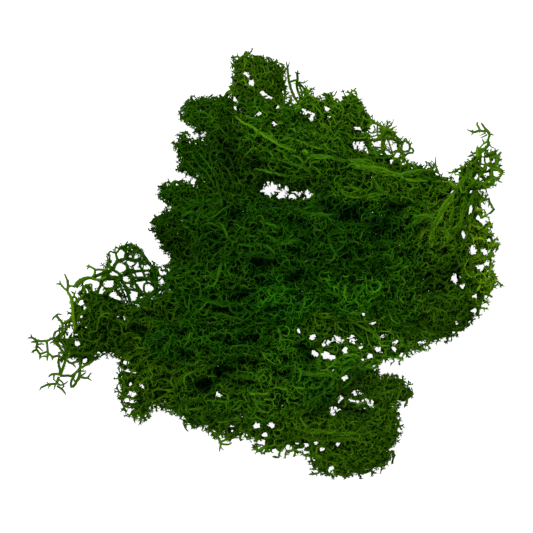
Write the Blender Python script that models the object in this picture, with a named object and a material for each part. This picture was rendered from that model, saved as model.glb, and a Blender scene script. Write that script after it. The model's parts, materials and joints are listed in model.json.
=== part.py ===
"""A handful of dyed reindeer lichen, sold as decorative moss, lying on a table.

The clump is a loose pile of tufts, each one a cushion of fine forked branchlets that
grew from its own stalk. Each tuft is one closed, lumpy solid that reaches the tips of
its branchlets. The open sprigs at the edge are branching stems. Lengths are in
millimetres up to the last step, which turns them to metres. +X is right and +Y is up
in the plan of the clump, and +Z is up from the table.
"""

import math
import random

import bmesh
import bpy
import numpy as np

MM = 0.001

# Driving dimensions of the clump, in millimetres
PLAN_WIDTH = 95.0
SHOULDER = 12.0
UNDERCUT = 5.0
LEAST_THICKNESS = 1.2
LEAST_RIM_HEIGHT = 0.4

# How the tufts meet: the gap and the crease between neighbours, and how far their
# meeting lines wander
TUFT_GAP = 0.35
TUFT_REACH = 9.0
VALLEY_DEPTH = 2.8
VALLEY_REACH = 3.2
RIM_HEIGHT_SHARE = 0.6
WANDER = 0.9
WANDER_LENGTH = 11.0

# The rounded heads all over the surface
LUMP_SPACING = 4.6
LUMP_SCATTER = 0.3
LUMP_HEIGHT = 1.6
LUMP_OUTLINE = 0.45
LUMP_ROUNDNESS = 0.78
LEAST_LUMP = 0.55

# The branchlet tips that stand out at the free edge
TIP_LENGTH = 1.1
TIP_CLEARANCE = 1.6
OPEN_GROUND = 1.3

# The triangles that draw the tufts, and the room kept round the open sprigs
LATTICE = 2.0
LEAST_CUT = 0.12
SLOPE_STEP = 0.2
SPRIG_CLEARANCE = 0.8
SKIN_SHARE = 0.85
SMOOTH_ANGLE = math.radians(50.0)
SEED = 11

# Greens of the dyed branchlets, from the deep middle to the pale edge
GREENS = {
    "deep": (0.012, 0.050, 0.004),
    "mid": (0.020, 0.075, 0.004),
    "lime": (0.042, 0.120, 0.005),
}
ROUGHNESS = 0.85

# The edge of the pile of tufts in plan, clockwise from the left of the top floret
OUTLINE = [
    (-6.4, 41.6), (-4.4, 42.2), (-3.2, 42.8), (-1.0, 41.8), (2.6, 41.6), (3.8, 39.4),
    (3.6, 37.0), (3.8, 34.6), (5.2, 32.2), (7.0, 32.8), (7.4, 34.8), (8.6, 35.6),
    (10.6, 33.8), (12.8, 35.0), (14.6, 33.4), (16.2, 34.4), (17.6, 35.6), (18.8, 33.6),
    (19.4, 31.6), (22.4, 28.8), (24.6, 29.2), (26.4, 27.6), (27.0, 25.4), (28.8, 25.2),
    (29.8, 23.0), (28.0, 21.4), (27.4, 20.4), (31.0, 20.0), (33.8, 19.4), (35.0, 17.8),
    (36.8, 17.0), (38.0, 18.8), (40.2, 20.2), (42.0, 23.0), (44.2, 23.4), (47.0, 22.4),
    (46.4, 20.4), (47.6, 18.4), (46.0, 16.8), (44.0, 15.4), (43.8, 13.8), (45.4, 12.2),
    (44.4, 10.6), (45.2, 8.0), (45.2, 5.8), (47.2, 4.4), (45.4, 2.4), (45.8, -0.2),
    (45.2, -2.0), (47.2, -3.2), (45.4, -5.0), (44.6, -7.6), (42.6, -9.4), (41.4, -11.2),
    (39.4, -13.0), (37.0, -14.8), (34.2, -15.4), (31.8, -17.0), (27.8, -18.4),
    (26.4, -19.6), (24.6, -18.6), (22.2, -20.0), (23.0, -22.0), (25.6, -21.6),
    (29.2, -23.4), (30.0, -25.6), (28.6, -27.2), (26.6, -28.2), (26.8, -30.2),
    (27.6, -32.4), (27.0, -35.0), (25.6, -37.0), (25.8, -39.0), (23.8, -40.8),
    (21.0, -42.0), (16.0, -43.0), (12.6, -42.6), (9.2, -41.8), (10.4, -39.4),
    (8.6, -37.8), (6.8, -37.0), (4.6, -38.2), (1.0, -38.2), (-2.6, -37.4), (-1.6, -35.6),
    (-5.0, -34.4), (-7.0, -35.2), (-10.2, -34.0), (-12.4, -32.6), (-16.0, -32.4),
    (-16.6, -30.6), (-19.0, -29.4), (-21.4, -28.2), (-23.2, -28.6), (-23.0, -31.0),
    (-24.6, -32.2), (-27.0, -31.0), (-28.8, -28.6), (-29.8, -25.0), (-29.8, -21.4),
    (-29.2, -18.6), (-30.6, -17.4), (-33.4, -18.0), (-36.0, -19.8), (-37.8, -18.8),
    (-39.8, -18.2), (-41.6, -16.4), (-41.4, -14.2), (-39.8, -12.4), (-38.6, -10.6),
    (-38.8, -7.2), (-37.0, -5.8), (-35.8, -4.4), (-33.6, -2.4), (-32.6, -0.2),
    (-31.4, 2.6), (-29.0, 4.4), (-27.2, 5.0), (-24.8, 3.2), (-23.6, 1.2), (-21.4, -0.2),
    (-19.6, 0.0), (-18.6, 1.4), (-20.4, 2.8), (-21.4, 5.2), (-22.8, 7.0), (-23.0, 10.4),
    (-20.6, 11.2), (-19.4, 12.2), (-21.4, 13.6), (-21.0, 15.6), (-19.4, 16.8),
    (-16.2, 16.8), (-13.8, 16.0), (-13.8, 17.6), (-17.8, 19.2), (-17.2, 21.4),
    (-18.6, 24.0), (-17.6, 26.2), (-15.8, 26.8), (-14.8, 24.8), (-11.6, 25.8),
    (-15.0, 27.4), (-15.8, 28.6), (-17.2, 29.2), (-16.6, 31.8), (-15.0, 33.4),
    (-11.0, 33.6), (-7.2, 34.0), (-7.0, 36.0), (-6.0, 37.8), (-6.6, 39.8),
]

# Each tuft: crest is the height of its heads, lift is the height of its free edge, and a
# limb is a chain of (x, y, radius) along which the branchlets spread. A tuft takes the
# ground that its limbs reach before its neighbours' limbs do.
TUFTS = {
    "top_floret": {
        "crest": 12.5, "lift": 4.0, "green": "lime",
        "limbs": [
            [(-3.8, 39.8, 2.7), (0.8, 39.2, 2.6)],
            [(-4.2, 38.0, 2.3), (-4.3, 35.0, 2.6)],
            [(0.8, 39.0, 2.5), (1.6, 34.6, 2.4)],
        ],
    },
    "shoulder_head": {
        "crest": 14.5, "lift": 4.5, "green": "mid",
        "limbs": [[(-14.4, 30.8, 2.7), (-10.2, 30.6, 3.1), (-5.8, 30.6, 2.6)]],
    },
    "top_tuft": {
        "crest": 13.5, "lift": 4.0, "green": "lime",
        "limbs": [
            [(9.4, 32.6, 2.4), (13.0, 31.8, 2.4), (16.8, 32.4, 2.6)],
            [(12.2, 28.2, 2.6), (16.4, 27.2, 2.8), (20.2, 28.6, 1.8)],
        ],
    },
    "rosette": {
        "crest": 10.0, "lift": 4.0, "green": "lime",
        "limbs": [
            [(21.4, 27.6, 1.4), (24.6, 27.0, 2.0)],
            [(24.6, 26.6, 1.6), (25.0, 21.6, 1.6)],
            [(27.8, 24.4, 1.5), (28.8, 22.8, 1.3), (26.4, 21.2, 1.4)],
            [(21.6, 27.0, 1.1), (21.4, 22.4, 1.2)],
        ],
    },
    "left_head_high": {
        "crest": 12.5, "lift": 4.5, "green": "mid",
        "limbs": [
            [(-16.2, 24.0, 2.4), (-14.0, 22.4, 2.2), (-10.6, 20.2, 2.0)],
            [(-17.2, 19.4, 0.9), (-14.6, 19.0, 1.1), (-12.2, 17.6, 1.4)],
        ],
    },
    "left_head_middle": {
        "crest": 13.5, "lift": 4.0, "green": "mid",
        "limbs": [[(-19.0, 14.8, 2.2), (-15.8, 14.6, 2.4), (-12.4, 13.8, 2.2)]],
    },
    "left_head_low": {
        "crest": 12.5, "lift": 4.0, "green": "mid",
        "limbs": [
            [(-20.4, 7.8, 2.3), (-17.8, 6.8, 2.6), (-17.2, 3.6, 2.4)],
            [(-17.4, 3.4, 2.4), (-18.0, 0.8, 1.8)],
        ],
    },
    "back_ridge": {
        "crest": 17.0, "lift": 4.5, "green": "deep",
        "limbs": [
            [(-8.0, 24.6, 2.8), (-8.6, 20.0, 2.8), (-8.4, 16.4, 2.6)],
            [(-5.0, 23.0, 2.4), (-4.2, 17.4, 2.6)],
        ],
    },
    "upper_middle": {
        "crest": 17.5, "lift": 4.5, "green": "mid",
        "limbs": [
            [(-1.2, 30.4, 2.8), (-0.6, 25.0, 3.2), (1.0, 20.6, 2.6)],
            [(4.8, 30.0, 3.0), (6.2, 24.4, 3.2), (7.4, 19.6, 2.3)],
        ],
    },
    "upper_right_arm": {
        "crest": 17.5, "lift": 5.0, "green": "lime",
        "limbs": [
            [(12.6, 23.0, 2.6), (17.4, 21.4, 2.6), (24.0, 19.2, 2.4), (30.0, 17.6, 2.2),
             (35.0, 16.6, 2.1)],
            [(15.0, 17.0, 2.4), (21.0, 15.2, 2.4), (27.0, 13.6, 2.4)],
        ],
    },
    "right_fan": {
        "crest": 17.0, "lift": 5.0, "green": "lime",
        "limbs": [
            [(37.6, 15.2, 2.4), (36.8, 10.6, 2.6), (35.4, 6.2, 2.5)],
            [(40.6, 15.4, 2.0), (40.4, 11.6, 2.0)],
        ],
    },
    "upper_right_tuft": {
        "crest": 11.0, "lift": 5.0, "green": "lime",
        "limbs": [
            [(41.4, 19.4, 1.4), (44.4, 21.2, 1.6)],
            [(43.0, 18.4, 1.4), (45.6, 18.4, 1.4)],
        ],
    },
    "right_margin": {
        "crest": 11.0, "lift": 4.0, "green": "lime",
        "limbs": [
            [(42.8, 11.4, 1.4), (42.4, 7.8, 1.5), (43.4, 4.0, 2.0), (43.4, 0.4, 2.0),
             (43.6, -4.4, 2.0)],
            [(43.6, -4.0, 1.5), (46.0, -3.2, 0.7)],
        ],
    },
    "right_body": {
        "crest": 17.5, "lift": 4.5, "green": "mid",
        "limbs": [
            [(33.0, 3.0, 3.0), (33.4, -2.0, 3.2), (34.0, -8.0, 3.2), (35.0, -11.8, 3.0)],
            [(38.0, 2.4, 2.2), (38.0, -6.6, 2.3), (39.8, -9.6, 2.4)],
        ],
    },
    "middle_right": {
        "crest": 18.5, "lift": 4.5, "green": "deep",
        "limbs": [
            [(27.4, 7.4, 2.8), (26.2, 2.4, 2.8), (28.0, -3.6, 2.8), (26.6, -9.6, 2.6)],
        ],
    },
    "centre_crown": {
        "crest": 19.0, "lift": 4.5, "green": "deep",
        "limbs": [
            [(0.0, 9.6, 2.8), (5.6, 10.4, 2.8), (9.8, 8.0, 2.6)],
            [(-3.4, 12.0, 2.2), (-2.6, 9.4, 2.4)],
        ],
    },
    "centre_stalks": {
        "crest": 18.0, "lift": 4.5, "green": "deep",
        "limbs": [[(13.6, 11.0, 2.5), (17.4, 7.4, 2.9), (23.0, 9.6, 2.6)]],
    },
    "centre_mound": {
        "crest": 20.0, "lift": 4.5, "green": "deep",
        "limbs": [[(-1.6, 3.4, 2.9), (3.4, 2.0, 3.0), (7.0, -1.2, 2.8)]],
    },
    "centre_right_mound": {
        "crest": 20.0, "lift": 4.5, "green": "deep",
        "limbs": [[(12.2, 2.6, 2.9), (16.8, -0.2, 3.0), (21.2, 2.2, 2.8)]],
    },
    "middle_band_left": {
        "crest": 18.5, "lift": 4.5, "green": "mid",
        "limbs": [[(-0.4, -5.6, 2.7), (4.0, -8.4, 2.8), (9.0, -7.6, 2.8)]],
    },
    "middle_band_right": {
        "crest": 18.5, "lift": 4.5, "green": "mid",
        "limbs": [[(13.6, -5.4, 2.8), (18.4, -7.8, 2.7), (22.0, -5.0, 2.6)]],
    },
    "openwork": {
        "crest": 12.0, "lift": 4.0, "green": "lime",
        "limbs": [
            [(10.0, -13.0, 2.2), (16.0, -13.2, 2.3), (23.0, -13.4, 2.2), (29.4, -15.2, 1.7),
             (32.6, -16.0, 0.9)],
            [(13.2, -17.8, 1.8), (20.4, -17.6, 1.7), (26.4, -17.2, 1.4)],
        ],
    },
    "left_flank": {
        "crest": 17.0, "lift": 4.5, "green": "deep",
        "limbs": [
            [(-12.4, 9.4, 2.8), (-11.6, 4.8, 3.0)],
            [(-7.4, 10.8, 3.0), (-6.8, 4.8, 3.1)],
        ],
    },
    "left_middle": {
        "crest": 17.5, "lift": 4.5, "green": "mid",
        "limbs": [
            [(-16.0, -4.0, 3.0), (-10.4, -3.4, 3.1), (-5.2, -3.6, 2.9)],
            [(-15.0, -8.8, 2.6), (-8.4, -9.2, 2.6), (-3.2, -9.4, 2.4)],
        ],
    },
    "left_body": {
        "crest": 13.5, "lift": 4.0, "green": "mid",
        "limbs": [
            [(-35.0, -9.8, 2.7), (-30.0, -11.2, 3.1), (-25.0, -11.6, 3.0), (-21.4, -9.4, 2.8)],
            [(-38.8, -15.6, 1.8), (-35.6, -15.2, 2.2), (-31.4, -14.8, 2.4)],
        ],
    },
    "left_crown": {
        "crest": 9.0, "lift": 3.5, "green": "mid",
        "limbs": [
            [(-28.0, 1.8, 2.2), (-27.4, -0.6, 2.4)],
            [(-30.4, -2.2, 2.4), (-25.0, -1.8, 2.6), (-21.6, -1.8, 1.8)],
            [(-30.0, -5.2, 1.8), (-22.6, -5.2, 1.6)],
        ],
    },
    "lower_left_band": {
        "crest": 17.0, "lift": 4.0, "green": "deep",
        "limbs": [
            [(-20.4, -15.2, 2.7), (-14.0, -15.4, 2.9), (-7.6, -15.4, 2.9), (-1.8, -15.0, 2.8)],
        ],
    },
    "lower_left_lobe": {
        "crest": 12.5, "lift": 4.0, "green": "lime",
        "limbs": [
            [(-26.2, -20.8, 2.6), (-26.4, -26.0, 2.6), (-25.0, -29.6, 1.9)],
            [(-21.2, -22.0, 2.8), (-20.0, -26.4, 2.4)],
        ],
    },
    "lower_middle_left": {
        "crest": 15.0, "lift": 4.0, "green": "mid",
        "limbs": [
            [(-14.6, -22.0, 2.9), (-13.6, -28.4, 2.7)],
            [(-8.2, -22.8, 2.9), (-7.4, -29.4, 2.8)],
        ],
    },
    "lower_middle_right": {
        "crest": 16.0, "lift": 4.0, "green": "lime",
        "limbs": [
            [(-1.4, -22.2, 2.8), (0.0, -29.0, 2.8), (5.6, -29.4, 2.6)],
        ],
    },
    "lower_centre": {
        "crest": 16.0, "lift": 4.0, "green": "mid",
        "limbs": [
            [(4.8, -15.2, 2.6), (7.6, -20.6, 2.8), (10.2, -25.2, 2.4)],
            [(13.6, -22.6, 1.9), (16.4, -21.6, 1.5)],
        ],
    },
    "dark_tuft": {
        "crest": 10.0, "lift": 3.0, "green": "deep",
        "limbs": [
            [(17.0, -24.4, 1.3), (21.6, -24.8, 1.9), (26.0, -24.6, 2.7)],
            [(24.6, -27.2, 1.6), (27.0, -25.8, 2.0)],
        ],
    },
    "bottom_fringe": {
        "crest": 10.0, "lift": 3.0, "green": "lime",
        "limbs": [
            [(-10.8, -32.6, 1.6), (-5.6, -33.2, 1.5), (-0.4, -35.2, 2.0), (4.8, -35.6, 2.0)],
        ],
    },
    "bottom_right_lobe": {
        "crest": 14.5, "lift": 3.5, "green": "lime",
        "limbs": [
            [(8.6, -32.4, 2.8), (14.2, -33.6, 3.2), (20.6, -33.2, 3.4), (23.6, -31.6, 2.8)],
            [(14.6, -38.4, 3.2), (20.6, -38.0, 3.2), (22.8, -36.6, 2.8)],
        ],
    },
}

# Places where the table shows through, as chains of (x, y, radius)
EYES = [
    [(1.2, 15.4, 1.5), (3.0, 14.0, 1.2), (8.2, 14.2, 1.0)],
    [(-14.6, 26.4, 0.9), (-13.0, 26.2, 0.7)],
    [(-15.6, 17.6, 0.8), (-14.0, 17.2, 0.7)],
    [(18.8, 24.2, 1.3)],
    [(22.6, 24.5, 0.9)],
    [(13.2, -28.6, 0.7), (15.6, -27.6, 0.8), (21.6, -27.8, 0.7)],
    [(17.6, -25.8, 0.4), (19.6, -25.8, 0.5)],
    [(8.8, 29.9, 0.8)],
    [(10.4, -17.5, 0.8), (12.3, -18.2, 0.7)],
    [(14.6, -14.6, 0.7), (17.8, -14.8, 0.8)],
    [(-26.4, -5.6, 0.9)],
    [(-29.2, -0.6, 0.9)],
    [(-22.9, -3.9, 0.9)],
    [(38.0, -2.6, 1.0)],
]

# Open sprigs: chains of (x, y, z, radius) along their stems, joined where two chains
# name the same point.
SPRIGS = {
    "left_sprig": {
        "green": "lime",
        "chains": [
            [(-42.4, -14.6, 7.0, 0.45), (-43.6, -14.8, 7.2, 0.4), (-45.6, -15.0, 7.0, 0.35),
             (-47.4, -14.6, 6.6, 0.2)],
            [(-43.6, -14.8, 7.2, 0.4), (-43.6, -16.8, 6.4, 0.35), (-42.8, -18.4, 6.0, 0.2)],
            [(-45.6, -15.0, 7.0, 0.35), (-46.0, -17.0, 6.0, 0.3), (-45.2, -18.6, 5.4, 0.2)],
        ],
    },
    "lower_left_sprig": {
        "green": "lime",
        "chains": [
            [(-40.4, -19.4, 6.0, 0.6), (-41.0, -21.4, 5.4, 0.6), (-41.6, -23.8, 5.0, 0.45)],
            [(-41.0, -21.4, 5.4, 0.6), (-43.6, -22.2, 5.0, 0.25)],
            [(-41.0, -21.4, 5.4, 0.6), (-38.4, -22.2, 5.2, 0.45), (-36.4, -22.6, 5.6, 0.35),
             (-34.8, -22.8, 6.0, 0.2)],
            [(-38.4, -22.2, 5.2, 0.45), (-38.8, -24.4, 4.4, 0.3)],
            [(-41.6, -23.8, 5.0, 0.45), (-43.8, -24.0, 4.4, 0.35), (-45.2, -24.6, 3.8, 0.2)],
            [(-41.6, -23.8, 5.0, 0.45), (-40.2, -25.6, 4.0, 0.2)],
        ],
    },
    "hooked_twig": {
        "green": "lime",
        "chains": [
            [(-40.6, -11.8, 7.0, 0.4), (-41.4, -11.0, 7.4, 0.35), (-42.2, -10.4, 7.8, 0.3),
             (-42.2, -9.6, 8.0, 0.25), (-41.4, -9.2, 8.2, 0.2)],
        ],
    },
    "left_stem": {
        "green": "lime",
        "chains": [
            [(-39.0, -6.6, 7.4, 0.5), (-39.6, -4.6, 8.0, 0.45), (-40.2, -2.0, 8.4, 0.2)],
            [(-39.6, -4.6, 8.0, 0.45), (-41.4, -3.4, 8.0, 0.2)],
        ],
    },
    "curled_stem": {
        "green": "lime",
        "chains": [
            [(-34.0, -2.6, 6.4, 0.5), (-36.8, -3.0, 6.8, 0.65), (-38.2, -4.4, 6.4, 0.55)],
        ],
    },
    "upper_right_twig": {
        "green": "lime",
        "chains": [
            [(43.8, 24.0, 9.6, 0.4), (44.4, 25.2, 9.8, 0.4), (44.6, 26.6, 9.6, 0.35),
             (43.4, 28.2, 9.2, 0.2)],
            [(44.6, 26.6, 9.6, 0.35), (41.2, 26.6, 9.0, 0.2)],
        ],
    },
    "top_twigs": {
        "green": "lime",
        "chains": [
            [(6.3, 32.0, 5.8, 0.4), (6.2, 33.4, 6.0, 0.4), (5.0, 35.6, 6.4, 0.35),
             (4.6, 38.2, 6.8, 0.3), (4.8, 40.4, 7.0, 0.2)],
            [(6.2, 33.4, 6.0, 0.4), (7.4, 35.0, 6.4, 0.35), (6.8, 37.0, 6.8, 0.35),
             (6.4, 38.8, 7.2, 0.2)],
            [(6.8, 37.0, 6.8, 0.35), (8.2, 37.6, 7.2, 0.2)],
        ],
    },
    "bottom_twig": {
        "green": "lime",
        "chains": [
            [(-9.6, -35.2, 4.0, 0.3), (-9.0, -36.2, 4.0, 0.3), (-9.2, -37.4, 3.8, 0.2)],
            [(-9.0, -36.2, 4.0, 0.3), (-7.4, -36.0, 4.2, 0.2)],
        ],
    },
}


def remove_everything():
    """Clears the scene that the script is run in."""
    for item in list(bpy.data.objects):
        bpy.data.objects.remove(item, do_unlink=True)


def make_material(name, green):
    """The dull, dry surface of a dyed branchlet."""
    material = bpy.data.materials.new(name)
    material.use_nodes = True
    shader = material.node_tree.nodes["Principled BSDF"]
    shader.inputs["Base Color"].default_value = (*GREENS[green], 1.0)
    shader.inputs["Roughness"].default_value = ROUGHNESS
    shader.inputs["Metallic"].default_value = 0.0
    return material


def reach(points, chain):
    """How far each point lies inside a chain of (x, y, radius), negative outside it."""
    corners = np.array(chain, dtype=float)
    if len(corners) == 1:
        return corners[0, 2] - np.linalg.norm(points - corners[0, :2], axis=1)
    best = np.full(len(points), -np.inf)
    for start, end in zip(corners[:-1], corners[1:]):
        along = end[:2] - start[:2]
        share = np.clip((points - start[:2]) @ along / (along @ along), 0.0, 1.0)
        nearest = start[:2] + share[:, None] * along
        radius = start[2] + share * (end[2] - start[2])
        best = np.maximum(best, radius - np.linalg.norm(points - nearest, axis=1))
    return best


def reach_of_chains(points, chains):
    """The best reach over several chains."""
    return np.max([reach(points, chain) for chain in chains], axis=0)


def depth_in_outline(points):
    """Distance of each point to the outline, negative outside it."""
    corners = np.array(OUTLINE, dtype=float)
    nearest = np.full(len(points), np.inf)
    inside = np.zeros(len(points), dtype=bool)
    for start, end in zip(corners, np.roll(corners, -1, axis=0)):
        along = end - start
        share = np.clip((points - start) @ along / (along @ along), 0.0, 1.0)
        away = np.linalg.norm(points - start - share[:, None] * along, axis=1)
        nearest = np.minimum(nearest, away)
        spans = (start[1] > points[:, 1]) != (end[1] > points[:, 1])
        if not spans.any():
            continue
        crossing = start[0] + (points[:, 1] - start[1]) / (end[1] - start[1]) * along[0]
        inside ^= spans & (points[:, 0] < crossing)
    return np.where(inside, nearest, -nearest)


def wander(points):
    """Bends the ground under the limbs, so that tufts meet along wandering lines."""
    turn = 2.0 * math.pi / WANDER_LENGTH
    x, y = points[:, 0], points[:, 1]
    shift_x = np.sin(turn * (0.3 * x + y)) + 0.6 * np.sin(turn * (1.1 * x - 1.6 * y) + 1.0)
    shift_y = np.sin(turn * (x - 0.4 * y) + 2.0) + 0.6 * np.sin(turn * (1.7 * x + 0.9 * y))
    return points + WANDER * np.stack([shift_x, shift_y], axis=1)


def quarter(share):
    """A quarter circle's height, from 0 at its edge to 1 at its top."""
    share = np.clip(share, 0.0, 1.0)
    return np.sqrt(1.0 - (1.0 - share) ** 2)


def lump_centres():
    """Scattered middles of the rounded heads that cover the clump."""
    chance = random.Random(SEED)
    half = PLAN_WIDTH * 0.6
    steps = int(2 * half / LUMP_SPACING)
    centres = []
    for row in range(steps):
        for column in range(steps):
            scatter_x = chance.uniform(-LUMP_SCATTER, LUMP_SCATTER)
            scatter_y = chance.uniform(-LUMP_SCATTER, LUMP_SCATTER)
            x = -half + (column + 0.5 * (row % 2) + scatter_x) * LUMP_SPACING
            y = -half + (row + scatter_y) * LUMP_SPACING
            centres.append((x, y, chance.uniform(LEAST_LUMP, 1.0)))
    return np.array(centres)


def lumps(points, centres):
    """Round heads with creases between them, from -1 in a crease to 1 on a head."""
    away = np.linalg.norm(points[:, None, :] - centres[None, :, :2], axis=2)
    nearest = np.argmin(away, axis=1)
    distance = away[np.arange(len(points)), nearest] / (0.5 * LUMP_SPACING)
    dome = np.sqrt(np.clip(1.0 - (LUMP_ROUNDNESS * distance) ** 2, 0.0, 1.0))
    return (2.0 * dome - 1.0) * centres[nearest, 2]


class Plan:
    """The clump seen from above: which tuft holds each point, and how deep inside."""

    def __init__(self):
        self.centres = lump_centres()
        self.stems = []
        for sprig in SPRIGS.values():
            for chain in sprig["chains"]:
                self.stems.append([(x, y, radius) for x, y, z, radius in chain])

    def measure(self, points, name):
        """Room inside the tuft, depth in the clump, way to the next tuft, and heads."""
        knobs = lumps(points, self.centres)
        ground = wander(points)
        own = reach_of_chains(ground, TUFTS[name]["limbs"])
        others = [tuft["limbs"] for other, tuft in TUFTS.items() if other != name]
        rival = np.max([reach_of_chains(ground, limbs) for limbs in others], axis=0)
        side = (own - rival) / 2.0 - TUFT_GAP / 2.0
        edge = depth_in_outline(points) + LUMP_OUTLINE * knobs
        eye = reach_of_chains(points, EYES)
        sprig = reach_of_chains(points, self.stems) + SPRIG_CLEARANCE
        depth = np.minimum(edge, np.maximum(-eye, 0.0) * 2.0)
        room = np.minimum.reduce([edge, side, -eye, -sprig])
        return {"room": room, "depth": depth, "side": side, "knobs": knobs}

    def heights(self, points, name):
        """Top, underside and rim heights of a tuft over the table."""
        crest = TUFTS[name]["crest"]
        lift = TUFTS[name]["lift"]
        found = self.measure(points, name)
        dome = quarter(found["depth"] / SHOULDER)
        valley = VALLEY_DEPTH * (1.0 - quarter(found["side"] / VALLEY_REACH))
        top = lift + (crest - lift + LUMP_HEIGHT * found["knobs"] - valley) * dome
        under = lift * (1.0 - quarter(found["depth"] / UNDERCUT))
        rim = lift + RIM_HEIGHT_SHARE * (top - lift)
        return top, under, rim


def lattice_for(limbs):
    """A triangular lattice over a tuft, with its points and its triangles."""
    corners = np.array([corner for limb in limbs for corner in limb])
    low = corners[:, :2].min(axis=0) - TUFT_REACH
    high = corners[:, :2].max(axis=0) + TUFT_REACH
    row_step = LATTICE * math.sqrt(3.0) / 2.0
    first_row = math.floor(low[1] / row_step)
    first_column = math.floor(low[0] / LATTICE)
    rows = math.ceil(high[1] / row_step) - first_row + 1
    columns = math.ceil(high[0] / LATTICE) - first_column + 1
    points = []
    for row in range(rows):
        number = first_row + row
        for column in range(columns):
            x = (first_column + column + 0.5 * (number % 2)) * LATTICE
            points.append((x, number * row_step))
    triangles = []
    for row in range(rows - 1):
        odd = (first_row + row) % 2
        for column in range(columns - 1):
            here = row * columns + column
            above = here + columns
            if odd:
                triangles.append((here, here + 1, above + 1))
                triangles.append((here, above + 1, above))
            else:
                triangles.append((here, here + 1, above))
                triangles.append((here + 1, above + 1, above))
    return np.array(points), triangles


def largest_island(triangles, room):
    """The inside lattice points that hang together, in the biggest group."""
    links = {}
    for triangle in triangles:
        inside = [corner for corner in triangle if room[corner] > 0.0]
        for corner in inside:
            links.setdefault(corner, set()).update(inside)
    biggest = set()
    waiting = set(links)
    while waiting:
        group = set()
        edge = [waiting.pop()]
        while edge:
            corner = edge.pop()
            group.add(corner)
            fresh = links[corner] & waiting
            waiting -= fresh
            edge.extend(fresh)
        if len(group) > len(biggest):
            biggest = group
    return biggest


def cut_plan(name, plan):
    """The tuft's plan as triangles: inside lattice points, and rim points between them
    and the points outside."""
    points, triangles = lattice_for(TUFTS[name]["limbs"])
    room = plan.measure(points, name)["room"]
    inside = largest_island(triangles, room)
    corners = []
    is_rim = []
    numbers = {}

    def corner_number(key, place, rim):
        if key not in numbers:
            numbers[key] = len(corners)
            corners.append(place)
            is_rim.append(rim)
        return numbers[key]

    def lattice_corner(index):
        return corner_number(index, points[index], False)

    def rim_corner(start, end):
        share = room[start] / (room[start] - min(room[end], -1e-6))
        share = min(max(share, LEAST_CUT), 1.0 - LEAST_CUT)
        place = points[start] + share * (points[end] - points[start])
        return corner_number((start, end), place, True)

    faces = []
    for triangle in triangles:
        flags = [corner in inside for corner in triangle]
        count = sum(flags)
        if count == 3:
            faces.append([lattice_corner(corner) for corner in triangle])
            continue
        if count == 0:
            continue
        turn = flags.index(True)
        if count == 2:
            turn = (flags.index(False) + 1) % 3
        a, b, c = (triangle[(turn + step) % 3] for step in range(3))
        if count == 1:
            faces.append([lattice_corner(a), rim_corner(a, b), rim_corner(a, c)])
        else:
            faces.append([lattice_corner(a), lattice_corner(b), rim_corner(b, c)])
            faces.append([lattice_corner(a), rim_corner(b, c), rim_corner(a, c)])
    return np.array(corners), np.array(is_rim), faces


def draw_out_tips(name, plan, corners, is_rim):
    """Pulls points of the free edge outwards, where single branchlets stand out."""
    chance = random.Random(SEED + sum(map(ord, name)))
    rim = np.flatnonzero(is_rim)
    here = corners[rim]
    slopes = []
    for step in ((SLOPE_STEP, 0.0), (0.0, SLOPE_STEP)):
        ahead = plan.measure(here + step, name)["room"]
        behind = plan.measure(here - step, name)["room"]
        slopes.append(behind - ahead)
    outward = np.stack(slopes, axis=1)
    outward /= np.maximum(np.linalg.norm(outward, axis=1), SLOPE_STEP / 100.0)[:, None]
    beyond = plan.measure(here + outward * TIP_CLEARANCE, name)
    moved = corners.copy()
    for order, index in enumerate(rim):
        pull = chance.random() ** 1.5 * TIP_LENGTH
        is_alone = beyond["side"][order] > TIP_CLEARANCE
        is_open = beyond["room"][order] < -OPEN_GROUND
        if is_alone and is_open:
            moved[index] = corners[index] + outward[order] * pull
    return moved


def tuft_mesh(name, plan):
    """A closed mesh: the cut plan as a domed top and an underside that share a rim."""
    corners, is_rim, faces = cut_plan(name, plan)
    moved = draw_out_tips(name, plan, corners, is_rim)
    top, under, rim = plan.heights(corners, name)
    vertices = []
    top_number = {}
    under_number = {}
    for index, place in enumerate(moved):
        if is_rim[index]:
            top_number[index] = under_number[index] = len(vertices)
            vertices.append((place[0], place[1], max(rim[index], LEAST_RIM_HEIGHT)))
        else:
            top_number[index] = len(vertices)
            roof = max(top[index], under[index] + LEAST_THICKNESS)
            vertices.append((place[0], place[1], roof))
            under_number[index] = len(vertices)
            vertices.append((place[0], place[1], under[index]))
    polygons = []
    for a, b, c in faces:
        polygons.append((top_number[a], top_number[b], top_number[c]))
        polygons.append((under_number[a], under_number[c], under_number[b]))
    mesh = bpy.data.meshes.new(name)
    mesh.from_pydata(vertices, [], polygons)
    mesh.update()
    return mesh


def sprig_mesh(name):
    """The centrelines of a sprig's stems, with the points that chains share joined."""
    numbers = {}
    vertices = []
    radii = []
    edges = []
    for chain in SPRIGS[name]["chains"]:
        previous = None
        for x, y, z, radius in chain:
            key = (x, y, z)
            if key not in numbers:
                numbers[key] = len(vertices)
                vertices.append(key)
                radii.append(radius)
            if previous is not None:
                edges.append((previous, numbers[key]))
            previous = numbers[key]
    mesh = bpy.data.meshes.new(name)
    mesh.from_pydata(vertices, edges, [])
    mesh.update()
    return mesh, radii


def add_object(name, mesh, green):
    """Puts a mesh in the scene as a named piece, in metres."""
    mesh.materials.append(make_material(name, green))
    item = bpy.data.objects.new(name, mesh)
    bpy.context.scene.collection.objects.link(item)
    return item


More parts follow.
